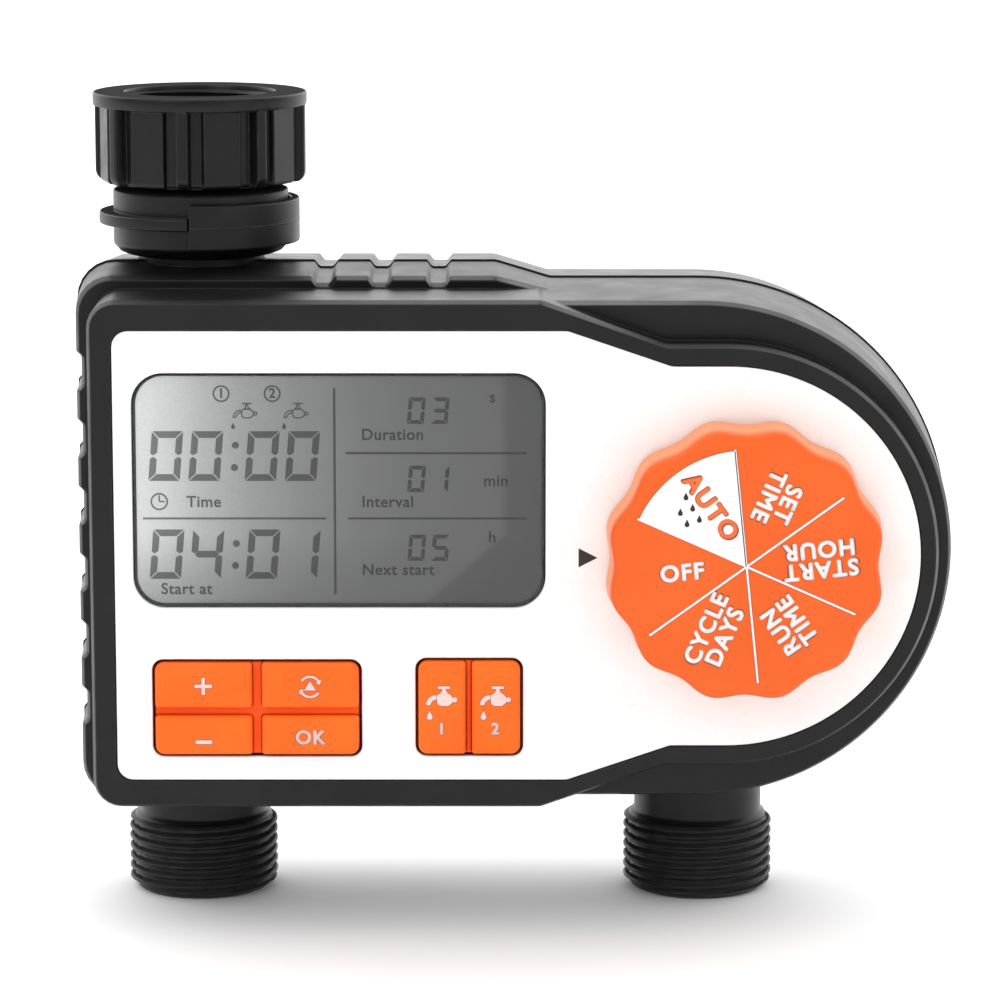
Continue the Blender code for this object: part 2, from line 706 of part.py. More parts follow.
def make_board():
    outline = [(-64.5, 31.9), (45.0, 31.9), (62.0, 48.0), (62.0, 80.0), (24.0, 96.5), (-64.5, 96.5)]
    holes = [circle((x, z), 1.5, 12) for x, z in PCB_SCREWS]
    holes.append(circle((DIAL_X, DIAL_Z), SHAFT_RADIUS + 0.6, 16))
    board = flat("main_pcb", [outline, *holes], PCB_Y)
    join(
        board,
        box("controller_chip", (-18.0, PCB_Y[1] - 0.2, 66.0), (-8.0, PCB_Y[1] + 1.6, 76.0)),
        box("lead_socket", (-2.0, PCB_Y[1] - 0.2, 47.0), (8.0, PCB_Y[1] + 4.5, 52.0)),
        rod("reservoir_capacitor", (24.0, PCB_Y[1] - 0.2, 80.0), (24.0, PCB_Y[1] + 9.0, 80.0), 4.0, 16),
    )
    finish(board, LOOKS["board"])
    for i, (x, z) in enumerate(PCB_SCREWS):
        profile = [(0, 1.4), (1.6, 1.4), (2.2, 0.3), (0.95, 0.3), (0.95, -5.8), (0, -6.2)]
        finish(turned(f"pcb_screw_{i + 1}", profile, (x, PCB_Y[1], z), "Y", 8), LOOKS["steel"])


# --- water side ------------------------------------------------------------------------


def valve_x(i, distance):
    """A place along valve i's axis, measured from its chamber's face toward the solenoid."""
    return VALVE_FACE[i] + VALVE_DIRECTION[i] * distance


def valve_rod(name, i, first, last, radius, sides=20):
    start = (valve_x(i, first), PORT_Y, VALVE_Z)
    end = (valve_x(i, last), PORT_Y, VALVE_Z)
    return rod(name, start, end, radius, sides)


def make_manifold():
    riser = (INLET_X, PORT_Y, ADAPTER_Z - GAP), (INLET_X, PORT_Y, 55.0)
    manifold = rod("valve_manifold", *riser, 9.0, 20)
    feed_x = [valve_x(i, FEED_SHIFT) for i in (0, 1)]
    gallery = (INLET_X - 2.0, PORT_Y, GALLERY_Z), (feed_x[1] + 4.5, PORT_Y, GALLERY_Z)
    join(manifold, rod("gallery", *gallery, 6.4, 16))
    for i, x in enumerate(OUTLET_X):
        join(
            manifold,
            rod(f"feed_{i}", (feed_x[i], PORT_Y, GALLERY_Z), (feed_x[i], PORT_Y, VALVE_Z + 8), 3.1, 12),
            valve_rod(f"chamber_{i}", i, -21.0, 0, CHAMBER_RADIUS, 20),
            rod(f"stub_{i}", (x, PORT_Y, FLANGE_Z[i] - 4.5), (x, PORT_Y, VALVE_Z), 7.5, 16),
        )
    inside = (INLET_X, PORT_Y, ADAPTER_Z), (INLET_X, PORT_Y, 61.5)
    cut(manifold, rod("riser_bore", *inside, 6.5, 16))
    along = (INLET_X, PORT_Y, GALLERY_Z), (feed_x[1] + 2.2, PORT_Y, GALLERY_Z)
    cut(manifold, rod("gallery_bore", *along, 4.4, 12))
    for i, x in enumerate(OUTLET_X):
        cut(
            manifold,
            rod(f"feed_bore_{i}", (feed_x[i], PORT_Y, GALLERY_Z), (feed_x[i], PORT_Y, VALVE_Z + 9), 2.0, 8),
            valve_rod(f"cavity_{i}", i, -6.0, 1.0, 11.6, 20),
        )
        join(manifold, valve_rod(f"seat_{i}", i, -6.6, -1.0, 7.0, 14))
        cut(
            manifold,
            valve_rod(f"seat_bore_{i}", i, -13.4, 1.0, 4.8, 12),
            rod(f"outlet_bore_{i}", (x, PORT_Y, VALVE_Z), (x, PORT_Y, FLANGE_Z[i] - 6), 5.0, 12),
        )
    finish(manifold, LOOKS["pom"])


def make_valve(i):
    """Diaphragm, bonnet, coil, plunger and return spring of one latching valve."""
    number = i + 1

    def placed(name, profile, ring=False, steps=16):
        """A piece turned about the valve's axis; heights run from the chamber's face."""
        side = VALVE_DIRECTION[i]
        points = [(r, h * side) for r, h in profile]
        if side < 0:
            points.reverse()
        return turned(name, points, (VALVE_FACE[i], PORT_Y, VALVE_Z), "X", steps, ring)

    web = [(0, 1.7), (8.6, 1.7), (9.4, 2.3), (13.0, 2.3), (13.0, 0.3), (9.4, 0.3), (8.6, 0.6), (0, 0.6)]
    finish(placed(f"diaphragm_{number}", web), LOOKS["seal"])
    bonnet = [(6.3, 22.0), (6.3, 6.2), (13.8, 6.2), (13.8, 2.6), (4.7, 2.6), (4.7, 22.0)]
    finish(placed(f"bonnet_{number}", bonnet, True), LOOKS["pom"])
    coil = [(10.5, 21.4), (10.5, 20.2), (9.4, 20.2), (9.4, 7.8), (10.5, 7.8), (10.5, 6.6)]
    coil += [(6.7, 6.6), (6.7, 21.4)]
    finish(placed(f"coil_{number}", coil, True), LOOKS["copper"])
    plunger = [(0, 15.0), (3.6, 15.0), (4.3, 14.4), (4.3, 5.0), (3.0, 4.0), (0, 4.0)]
    finish(placed(f"plunger_{number}", plunger, steps=12), LOOKS["steel"])
    finish(coil_spring(i, f"plunger_spring_{number}"), LOOKS["spring"])


def coil_spring(i, name):
    turns, per_turn, radius = 4, 6, 3.2
    first, last = PLUNGER_SPRING
    points = []
    for k in range(turns * per_turn + 1):
        angle = math.tau * k / per_turn
        x = valve_x(i, first + (last - first) * k / (turns * per_turn))
        points.append((x, PORT_Y + radius * math.cos(angle), VALVE_Z + radius * math.sin(angle)))
    return wire(name, points, 0.35)


def make_outlet(i):
    number = i + 1
    flange = FLANGE_Z[i]
    lip = flange + FLANGE_THICKNESS
    profile = [(FLANGE_RADIUS, lip), (FLANGE_RADIUS, flange), (NECK_RADIUS, flange), (NECK_RADIUS, 13.6)]
    profile.append((THREAD_ROOT, 12.8))
    start = 12.5
    for turn in range(THREAD_TURNS):
        top = start - turn * THREAD_PITCH
        crest = THREAD_PITCH * 0.14
        middle = top - THREAD_PITCH / 2
        profile.append((THREAD_ROOT, top - crest))
        profile += [(THREAD_RADIUS, middle + crest), (THREAD_RADIUS, middle - crest)]
    bottom = start - THREAD_TURNS * THREAD_PITCH
    profile += [(THREAD_ROOT, bottom), (THREAD_ROOT, 0.8), (THREAD_ROOT - 0.8, 0), (OUTLET_BORE, 0)]
    socket = flange - SOCKET_DEPTH
    profile += [(OUTLET_BORE, socket), (9.7, socket), (9.7, lip)]
    finish(turned(f"outlet_{number}", profile, (OUTLET_X[i], PORT_Y, 0), "Z", 16, True), LOOKS["port"])
    seat = (OUTLET_X[i], PORT_Y, flange - 2.5)
    finish(turned(f"outlet_seal_{number}", o_ring(7.8, 9.4), seat, "Z", 12, True), LOOKS["seal"])


def make_inlet():
    """The collar, its half sleeve, the filter and the washer that a tap seals on."""
    axis = (INLET_X, PORT_Y, 0)
    ring_low, ring_high = COLLAR_RING_Z
    body = [(COLLAR_RADIUS, 125.1), (COLLAR_RADIUS, ring_high), (COLLAR_RING_RADIUS, ring_high)]
    body += [(COLLAR_RING_RADIUS, ring_low), (COLLAR_RADIUS, ring_low), (COLLAR_RADIUS, 115.4)]
    body += [(13.6, 114.2), (11.0, 113.9), (11.0, ADAPTER_Z), (8.9, ADAPTER_Z), (8.9, 131.5)]
    body += [(12.4, 131.5), (12.4, 129.3), (10.0, 129.3), (10.0, 125.6)]
    adapter = turned("inlet_adapter", body, axis, "Z", 20, True)
    room_low, room_high = ring_low - 0.9, ring_high + 0.6
    room = box("clip_room", (CLIP_LEFT, PORT_Y - 20, room_low), (INLET_X + 22, PORT_Y + 20, room_high))
    core_profile = ring_profile(8.0, COLLAR_RADIUS + 0.1, room_low - 0.5, room_high + 0.5)
    cut(adapter, cut(room, turned("clip_room_core", core_profile, axis, "Z", 20, True)))
    seat = (INLET_X, PORT_Y, 130.4), (INLET_X, PORT_Y, 133)
    cut(adapter, rod("filter_seat", *seat, FILTER_SEAT_RADIUS, 24))
    finish(adapter, LOOKS["port"])
    clip = turned("inlet_clip", ring_profile(*CLIP_RADII, *CLIP_Z), axis, "Z", 20, True)
    mouth_low = (INLET_X - 22, PORT_Y - 20, CLIP_Z[0] - THROUGH)
    mouth_high = (CLIP_LEFT + GAP, PORT_Y + 20, CLIP_Z[1] + THROUGH)
    cut(clip, box("clip_mouth", mouth_low, mouth_high))
    finish(clip, LOOKS["port"])
    thimble = [(10.0, 131.3), (10.0, 130.7), (8.3, 130.7), (7.2, 118.0), (0, 118.0)]
    thimble += [(0, 118.8), (6.5, 118.8), (7.4, 131.3), (10.0, 131.3)]
    finish(turned("inlet_filter", thimble, axis, "Z", 16), LOOKS["filter"])
    washer = ring_profile(7.8, 11.7, 131.8, 134.2)
    finish(turned("inlet_washer", washer, axis, "Z", 20, True), LOOKS["seal"])
    make_nut(axis)


def make_nut(axis):
    """The swivel nut: a band round its top, and ribs with flat-topped panels between them."""
    low, high = NUT_Z
    band = high - NUT_BAND
    profile = [(12.9, high), (13.5, high), (17.4, high - 0.6), (NUT_RADIUS, high - 1.4)]
    profile.append((NUT_RADIUS, band))
    profile += [(NUT_PANEL_RADIUS, band - 0.4), (NUT_PANEL_RADIUS, low + 1.2), (16.6, low + 0.3), (14.4, low)]
    profile += [(10.35, low), (10.35, NUT_SEAT_Z), (12.7, NUT_SEAT_Z), (12.7, high - 1.2)]
    nut = turned("inlet_nut", profile, axis, "Z", 24, True)
    top, edge = NUT_RADIUS - 0.15, NUT_GROOVE_RADIUS
    half, foot = NUT_RIB_ANGLES
    points = []
    for rib in range(NUT_RIBS):
        middle = 360 * rib / NUT_RIBS + NUT_FIRST_RIB
        corners = ((-foot, edge), (-half, top), (half, top), (foot, edge), (180 / NUT_RIBS, edge))
        for offset, radius in corners:
            angle = math.radians(middle + offset)
            points.append((radius * math.cos(angle), radius * math.sin(angle)))
    ribs = flat("nut_ribs", [points, circle((0, 0), 14.5, 16)], (-(band + 0.5), -(low + 1.2)))
    stood = Matrix.Translation(metres(axis)) @ Matrix.Rotation(math.radians(-90), 4, "X")
    ribs.matrix_world = stood @ ribs.matrix_world
    join(nut, ribs)
    finish(nut, LOOKS["port"], joint_axis("nut_axis", (INLET_X, PORT_Y, (low + high) / 2)))


# --- battery bay -----------------------------------------------------------------------


def make_battery_bay():
    low, high = TRAY
    tray = box("battery_tray", low, high)
    inner_low = (low[0] + TRAY_WALL, low[1] + TRAY_WALL, low[2] + TRAY_WALL)
    inner_high = (high[0] - TRAY_WALL, high[1] + THROUGH, high[2] - TRAY_WALL)
    screw_x, screw_z = DOOR_SCREW
    boss = (screw_x, low[1], screw_z), (screw_x, DOOR[0][1] - 2.5, screw_z)
    middle = sum(CELL_Z) / 2
    cut(tray, box("bay", inner_low, inner_high))
    join(
        tray,
        box("boss_web", (high[0] - 0.6, low[1], screw_z - 1), (screw_x, high[1] - 4, screw_z + 1)),
        rod("boss", *boss, 4.0, 16),
        box("divider", (-36.0, low[1] + 0.5, middle - 0.4), (6.0, low[1] + 8.0, middle + 0.4)),
    )
    cut(tray, rod("boss_hole", (screw_x, 20.0, screw_z), (screw_x, DOOR[0][1], screw_z), 2.35, 12))
    finish(tray, LOOKS["pale"])
    ends = (-38.7, -41.7)
    for i, z in enumerate(CELL_Z):
        body, nub = CELL_LENGTH - 1.3, CELL_LENGTH
        profile = [(0, nub), (2.7, nub), (2.7, body), (CELL_RADIUS - 0.6, body), (CELL_RADIUS, body - 0.6)]
        profile += [(CELL_RADIUS, 0.6), (CELL_RADIUS - 0.6, 0), (0, 0)]
        start = ends[0]
        if i == 1:
            profile = [(r, CELL_LENGTH - h) for r, h in reversed(profile)]
            start = ends[1]
        finish(turned(f"battery_{i + 1}", profile, (start, CELL_Y, z), "X", 16), LOOKS["cell"])
    left, right = low[0] + TRAY_WALL + GAP, high[0] - TRAY_WALL - GAP
    spans = [(z - 5.0, z + 5.0) for z in CELL_Z]
    bridge = box("contact_bridge", (left, 17.0, spans[0][0]), (left + 0.5, 26.5, spans[1][1]))
    join(bridge, leaf_bump("bridge_leaf", left + 0.2, ends[0] - GAP, CELL_Z[0]))
    finish(bridge, LOOKS["spring"])
    plus = box("contact_plus", (right - 0.5, 17.0, spans[0][0]), (right, 26.5, spans[0][1]))
    finish(plus, LOOKS["spring"])
    minus = box("contact_minus", (right - 0.5, 17.0, spans[1][0]), (right, 26.5, spans[1][1]))
    cell_end = ends[1] + CELL_LENGTH
    join(minus, leaf_bump("minus_leaf", right - 0.2, cell_end + GAP, CELL_Z[1]))
    finish(minus, LOOKS["spring"])


def leaf_bump(name, root_x, tip_x, z):
    """A bowed leaf that reaches from a contact plate to a cell's flat end."""
    side = math.copysign(0.4, tip_x - root_x)
    points = [(root_x, 18.5), (tip_x, 21.0), (tip_x, 22.5), (root_x, 25.0)]
    points += [(root_x, 24.3), (tip_x - side, 22.1), (tip_x - side, 21.4), (root_x, 19.2)]
    leaf = flat(name, [points], (-(z + 2.5), -(z - 2.5)))
    leaf.matrix_world = Matrix.Rotation(math.radians(-90), 4, "X") @ leaf.matrix_world
    return leaf


def make_door():
    hinge_x, hinge_y = HINGE
    axis = joint_axis("door_hinge", (hinge_x, hinge_y, MID_Z))
    (left, near, low), (right, far, high) = DOOR
    screw_x, screw_z = DOOR_SCREW
    plate = rounded_box((left, low), (right, high), 1.2, steps=2)
    pin = (hinge_x, hinge_y, low - PIN_REACH), (hinge_x, hinge_y, high + PIN_REACH)
    door = flat("battery_door", [plate], (near, far))
    join(
        door,
        rod("door_boss", (screw_x, near - 1.6, screw_z), (screw_x, far - 0.4, screw_z), 6.0, 16),
        rod("hinge_pin", *pin, PIN_RADIUS, 10),
    )
    cut(
        door,
        rod("screw_recess", (screw_x, far - 2.3, screw_z), (screw_x, far + THROUGH, screw_z), 5.3, 16),
        rod("screw_passage", (screw_x, near - 4, screw_z), (screw_x, far, screw_z), 2.2, 12),
    )
    for k in range(GRIP_GROOVES):
        x = hinge_x + 8.0 + GRIP_GROOVE_PITCH * k
        cut(door, box(f"grip_groove_{k}", (x, far - 0.5, 84.0), (x + 1.0, far + 1, 97.0)))
    finish(door, LOOKS["case"], axis)
    ring = [rounded_box(*GASKET, 2.0, inset, 2) for inset in (0.0, GASKET_WIDTH)]
    finish(flat("door_gasket", ring, (GASKET_Y, near - GAP)), LOOKS["seal"], axis)
    profile = [(0, far - 0.1), (4.4, far - 0.1), (4.9, far - 0.6), (4.9, far - 2.0), (1.9, far - 2.0)]
    profile += [(1.9, 25.9), (0, 25.4)]
    screw = turned("door_screw", profile, (screw_x, 0, screw_z), "Y", 12)
    slot = (screw_x - 3.6, far - 1.2, screw_z - 0.6), (screw_x + 3.6, far + 1, screw_z + 0.6)
    cut(screw, box("coin_slot", *slot))
    finish(screw, LOOKS["case"], axis)


def make_leads():
    board = PCB_Y[1] + 4.8
    for i in (0, 1):
        coil = valve_x(i, 14.0)
        end_x = 3.0 * i
        run = [(coil, 1.9, VALVE_Z), (coil, -2.5, VALVE_Z + 0.5)]
        run += [(end_x, -2.5, LEAD_ENTRY_Z), (end_x, board, LEAD_ENTRY_Z)]
        finish(wire(f"solenoid_lead_{i + 1}", run, LEAD_RADIUS), LOOKS["lead"])
    run = [(10.0, 12.2, 80.0), (10.0, 0.0, 78.0), (7.0, -2.5, 60.0)]
    run += [(7.0, -2.5, LEAD_ENTRY_Z), (7.0, board, LEAD_ENTRY_Z)]
    finish(wire("battery_lead", run, LEAD_RADIUS), LOOKS["lead"])


# --- the whole -------------------------------------------------------------------------

for left_over in list(bpy.data.objects):
    bpy.data.objects.remove(left_over, do_unlink=True)
parts = new_collection("irrigation_timer")
cutters = new_collection("cutters")
LOOKS = {
    "case": material("case_black", (0.022, 0.022, 0.023), 0.42),
    "port": material("port_black", (0.018, 0.018, 0.019), 0.38),
    "plate": material("plate_white", (0.9, 0.9, 0.9), 0.3),
    "window": material("window_clear", (0.55, 0.56, 0.56), 0.08),
    "lcd": material("lcd_grey", (0.4, 0.41, 0.41), 0.2),
    "key": material("key_orange", (0.93, 0.2, 0.035), 0.5),
    "web": material("web_orange", (0.95, 0.11, 0.02), 0.6),
    "dial": material("dial_orange", (0.95, 0.19, 0.05), 0.35),
    "pale": material("moulding_pale", (0.7, 0.7, 0.68), 0.45),
    "pom": material("manifold_white", (0.8, 0.8, 0.76), 0.4),
    "strip": material("contact_strip_pink", (0.7, 0.3, 0.3), 0.7),
    "seal": material("seal_black", (0.015, 0.015, 0.015), 0.8),
    "board": material("board_green", (0.02, 0.14, 0.05), 0.4),
    "steel": material("screw_steel", (0.6, 0.6, 0.6), 0.3, 1.0),
    "spring": material("spring_steel", (0.65, 0.65, 0.66), 0.25, 1.0),
    "brass": material("contact_brass", (0.75, 0.5, 0.18), 0.3, 1.0),
    "copper": material("coil_copper", (0.72, 0.3, 0.12), 0.35, 1.0),
    "cell": material("cell_wrapper", (0.08, 0.09, 0.12), 0.3, 0.6),
    "filter": material("filter_mesh", (0.6, 0.62, 0.64), 0.4, 0.5),
    "lead": material("lead_red", (0.5, 0.02, 0.02), 0.5),
}
make_front_shell()
make_rear_shell()
make_housing_screws()
make_face_plate()
make_display()
make_keypad()
make_dial()
make_board()
make_manifold()
for valve in (0, 1):
    make_valve(valve)
    make_outlet(valve)
make_inlet()
make_battery_bay()
make_door()
make_leads()
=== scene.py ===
"""Looks for the two-outlet drip irrigation timer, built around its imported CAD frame.

Sizes are in millimetres and become metres where a mesh is made. X runs across the front,
Y from the front to the back, Z up. Places are worked out from the CAD nodes' boxes.
"""

import json
import math

import bmesh
import bpy
from mathutils import Matrix, Vector

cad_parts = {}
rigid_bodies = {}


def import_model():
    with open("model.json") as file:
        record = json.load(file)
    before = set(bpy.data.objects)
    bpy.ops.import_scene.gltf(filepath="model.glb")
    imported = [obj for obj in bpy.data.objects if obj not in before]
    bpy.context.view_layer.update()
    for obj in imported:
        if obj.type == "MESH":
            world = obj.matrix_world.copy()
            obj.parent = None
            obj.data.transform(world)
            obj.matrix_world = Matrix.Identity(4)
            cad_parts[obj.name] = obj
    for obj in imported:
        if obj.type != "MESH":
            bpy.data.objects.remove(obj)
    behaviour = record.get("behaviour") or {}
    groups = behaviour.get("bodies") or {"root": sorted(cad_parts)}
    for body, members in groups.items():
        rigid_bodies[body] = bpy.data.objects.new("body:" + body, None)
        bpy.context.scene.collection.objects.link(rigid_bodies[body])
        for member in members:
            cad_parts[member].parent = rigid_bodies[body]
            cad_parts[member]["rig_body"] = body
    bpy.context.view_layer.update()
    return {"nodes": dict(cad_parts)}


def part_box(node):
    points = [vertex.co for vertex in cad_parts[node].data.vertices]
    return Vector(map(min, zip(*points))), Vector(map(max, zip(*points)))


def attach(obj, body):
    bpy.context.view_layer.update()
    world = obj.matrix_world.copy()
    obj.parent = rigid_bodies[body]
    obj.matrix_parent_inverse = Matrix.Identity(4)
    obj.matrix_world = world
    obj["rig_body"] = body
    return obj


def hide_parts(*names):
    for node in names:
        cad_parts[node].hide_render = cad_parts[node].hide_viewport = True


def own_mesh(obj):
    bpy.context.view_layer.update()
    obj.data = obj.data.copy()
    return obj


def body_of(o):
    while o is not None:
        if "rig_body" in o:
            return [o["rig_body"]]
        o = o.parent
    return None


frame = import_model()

MM = 0.001


# --- places from the frame ---


def box_of(node):
    """A CAD node's lowest and highest corners."""
    low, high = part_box(node)
    return low / MM, high / MM


def centre_of(node):
    return sum(box_of(node), Vector()) / 2


def centres_of(prefix):
    """The middles of the CAD nodes whose names start alike."""
    return {name: centre_of(name) for name in sorted(frame["nodes"]) if name.startswith(prefix)}


PLATE_LOW, PLATE_HIGH = box_of("face_plate")
SHELL_LOW, SHELL_HIGH = box_of("front_shell")
REAR_LOW, REAR_HIGH = box_of("rear_shell")
WINDOW_LOW, WINDOW_HIGH = box_of("lcd_window")
DIAL_LOW, DIAL_HIGH = box_of("program_dial")
DIAL_CENTRE = centre_of("program_dial")
NUT_LOW, NUT_HIGH = box_of("inlet_nut")
NUT_CENTRE = centre_of("inlet_nut")
DOOR_LOW, DOOR_HIGH = box_of("battery_door")
OUTLETS = {name: centre_of(name).x for name in ("outlet_1", "outlet_2")}
HOUSING_SCREWS = centres_of("housing_screw")
BOARD_SCREWS = centres_of("pcb_screw")

GAP = 0.3  # between the two shells, and round what sits in an opening
WALL = 2.2
FACE_Y = PLATE_LOW.y
PLATE_BACK_Y = PLATE_HIGH.y
FRONT_WALL_BACK_Y = PLATE_BACK_Y + WALL
PARTING_Y = REAR_LOW.y - GAP / 2
BOSS_MEET_Y = SHELL_HIGH.y + GAP / 2
BACK_Y = REAR_HIGH.y
MID_Z = (PLATE_LOW.z + PLATE_HIGH.z) / 2
PORT_Y = NUT_CENTRE.y

# The case's steps behind its face: one round the dial, then the body's own edge
ROUND_STEP_Y = FACE_Y + 5.3
BODY_Y = FACE_Y + 16.0

# Outlines seen from the front: a straight left part, a slope and a round right end
PLATE = {"left": PLATE_LOW.x, "half": 38.6, "corner": 2.7, "slope": (9.05, 26.6), "end": (36.25, 32.6)}
BEZEL = {"left": PLATE_LOW.x - 4.3, "half": 43.7, "corner": 4.8, "slope": (4.55, 25.75), "end": (35.75, 36.3)}
BODY = {"left": SHELL_LOW.x + 1.0, "half": 45.8, "corner": 6.6, "slope": (-3.05, 6.2), "end": (31.75, 43.45)}
PARTING = {"left": SHELL_LOW.x, "half": 46.95, "corner": 7.4, "slope": (-3.05, 6.4), "end": (32.05, 44.1)}
ROUND_STEP_RADIUS = 42.9
ROUND_STEP_LEFT = -5.0
BEND_RADIUS = 3.0
# The long, slightly rounded chamfer round each step's front edge, as (depth, inset)
CHAMFER = ((0.0, 0.78), (0.04, 0.68), (0.14, 0.58), (1.42, 0.08), (1.62, 0.0))
BACK_DRAFT = 1.7
BACK_ROUND = 1.8
INNER_DRAFT = 1.2

# Grip notches in the outer edge: where they sit, and (width, depth)
TOP_NOTCHES = (-32.55, -22.85, -12.95)
TOP_NOTCH = (4.2, 1.2)
SIDE_NOTCHES = [11.75 * (2.5 - i) for i in range(6)]
SIDE_NOTCH = (6.8, 0.9)
NOTCH_SLANT = 0.9


# --- mesh helpers ---


def link(made):
    bpy.context.scene.collection.objects.link(made)
    return made


def object_from(name, bm):
    """An object from a bmesh in millimetres, merged, with its faces pointing out."""
    bmesh.ops.remove_doubles(bm, verts=bm.verts, dist=0.0005)
    bmesh.ops.scale(bm, vec=(MM, MM, MM), verts=bm.verts)
    bmesh.ops.recalc_face_normals(bm, faces=bm.faces)
    mesh = bpy.data.meshes.new(name)
    bm.to_mesh(mesh)
    bm.free()
    return link(bpy.data.objects.new(name, mesh))


def skin(rings, wrap=False, caps=True):
    """A bmesh through closed rings of equally many points; wrap joins the last to the first."""
    bm = bmesh.new()
    loops = [[bm.verts.new(point) for point in ring] for ring in rings]
    pairs = list(zip(loops, loops[1:]))
    if wrap:
        pairs.append((loops[-1], loops[0]))
    for near, far in pairs:
        for i in range(len(near)):
            j = (i + 1) % len(near)
            bm.faces.new((near[i], near[j], far[j], far[i]))
    if caps:
        bm.faces.new(loops[0])
        bm.faces.new(loops[-1])
    return bm


def loft(name, sections):
    """A closed solid through outlines in the XZ plane, each a (depth, points) pair."""
    return object_from(name, skin([[(x, depth, z) for x, z in points] for depth, points in sections]))


def stepped(name, outline, steps):
    """A closed solid through (depth, inset) steps of an outline that is a function of its inset."""
    return loft(name, [(depth, outline(inset)) for depth, inset in steps])


def from_depth(start, steps):
    """(depth, inset) steps with their depths counted from a start."""
    return [(start + depth, inset) for depth, inset in steps]


def from_height(start, profile):
    """A (radius, height) profile with its heights counted from a start."""
    return [(radius, start + height) for radius, height in profile]


def prism(name, points, near, far):
    return loft(name, [(near, points), (far, points)])


def slab(name, low, high):
    corners = [(low[0], low[2]), (high[0], low[2]), (high[0], high[2]), (low[0], high[2])]
    return prism(name, corners, low[1], high[1])


AXES = {
    "X": lambda r, a, h: (h, r * math.cos(a), r * math.sin(a)),
    "Y": lambda r, a, h: (r * math.cos(a), h, r * math.sin(a)),
    "Z": lambda r, a, h: (r * math.cos(a), r * math.sin(a), h),
}


def lathe(name, profile, centre, axis="Z", steps=96, closed=True, bump=None):
    """A turned solid from (radius, height) points; bump(angle, radius, height) may shift the radius."""
    rings = []
    for radius, height in profile:
        ring = []
        for i in range(steps):
            angle = math.tau * i / steps
            reach = bump(angle, radius, height) if bump else radius
            ring.append(Vector(AXES[axis](reach, angle, height)) + Vector(centre))
        rings.append(ring)
    return object_from(name, skin(rings, wrap=closed, caps=False))


def arc(centre, radius, first, last, steps):
    """Points along an arc, its angles in degrees counter-clockwise from +X."""
    angles = [math.radians(first + (last - first) * i / steps) for i in range(steps + 1)]
    return [(centre[0] + radius * math.cos(a), centre[1] + radius * math.sin(a)) for a in angles]


def circle(centre, radius, steps=64):
    return arc(centre, radius, 0, 360, steps)[:-1]


def soften(corners, steps=5):
    """A closed outline whose (x, z, radius) corners are rounded by arcs; radius 0 keeps a point."""
    points = []
    for i, (x, z, radius) in enumerate(corners):
        here = Vector((x, z))
        if not radius:
            points.append((x, z))
            continue
        back = Vector(corners[i - 1][:2]) - here
        ahead = Vector(corners[(i + 1) % len(corners)][:2]) - here
        half = back.angle(ahead) / 2
        reach = min(radius / math.tan(half), 0.48 * back.length, 0.48 * ahead.length)
        start = here + back.normalized() * reach
        centre = here + (back.normalized() + ahead.normalized()).normalized() * reach / math.cos(half)
        spoke = start - centre
        turn = -spoke.angle_signed(here + ahead.normalized() * reach - centre)
        for k in range(steps + 1):
            point = centre + Matrix.Rotation(turn * k / steps, 2) @ spoke
            points.append((point.x, point.y))
    return points


def rounded_profile(profile, radius=0.3):
    """A closed (radius, height) profile with every corner rounded."""
    return soften([(r, h, radius) for r, h in profile], 3)


def rounded_rectangle(low, high, radii, inset=0.0, steps=8):
    """A rectangle with one radius for all corners, or one each from the top right, anticlockwise."""
    if not isinstance(radii, list):
        radii = [radii] * 4
    left, bottom, right, top = low[0] + inset, low[1] + inset, high[0] - inset, high[1] - inset
    places = ((right, top), (left, top), (left, bottom), (right, bottom))
    return soften([(x, z, max(r - inset, 0.12)) for (x, z), r in zip(places, radii)], steps)


def rod(name, start, end, radius, steps=32):
    """A round bar between two points."""
    along = Vector(end) - Vector(start)
    turn = Vector((0, 0, 1)).rotation_difference(along).to_matrix()
    rings = []
    for height in (0.0, along.length):
        around = [turn @ Vector((x, y, height)) for x, y in circle((0, 0), radius, steps)]
        rings.append([Vector(start) + spoke for spoke in around])
    return object_from(name, skin(rings))


def peg(name, place, near, far, radius, steps=32):
    """A round bar along Y, through a place."""
    return rod(name, (place.x, near, place.z), (place.x, far, place.z), radius, steps)


def evaluated_mesh(made):
    bpy.context.view_layer.update()
    return bpy.data.meshes.new_from_object(made.evaluated_get(bpy.context.evaluated_depsgraph_get()))


def combine(target, operation, others):
    """Applies Booleans to the target at once; the other objects are used up."""
    for other in others:
        step = target.modifiers.new("Combine", "BOOLEAN")
        step.operation = operation
        step.object = other
    mesh = evaluated_mesh(target)
    target.modifiers.clear()
    target.data = mesh
    for other in others:
        bpy.data.objects.remove(other)
    return target


def cut(target, *others):
    return combine(target, "DIFFERENCE", others)


def join(target, *others):
    return combine(target, "UNION", others)


def add_spline(curve, points, closed):
    spline = curve.splines.new("POLY")
    spline.points.add(len(points) - 1)
    for target, point in zip(spline.points, points):
        target.co = (*(Vector(point) * MM), 1.0)
    spline.use_cyclic_u = closed


def from_curve(name, curve, matrix):
    """A mesh object from a curve or text, welded, with its place in its vertices."""
    drawn = link(bpy.data.objects.new(name + "_drawn", curve))
    mesh = evaluated_mesh(drawn)
    mesh.transform(matrix)
    bm = bmesh.new()
    bm.from_mesh(mesh)
    bmesh.ops.remove_doubles(bm, verts=bm.verts, dist=0.0005 * MM)
    bmesh.ops.recalc_face_normals(bm, faces=bm.faces)
    bm.to_mesh(mesh)
    bm.free()
    bpy.data.objects.remove(drawn)
    return link(bpy.data.objects.new(name, mesh))


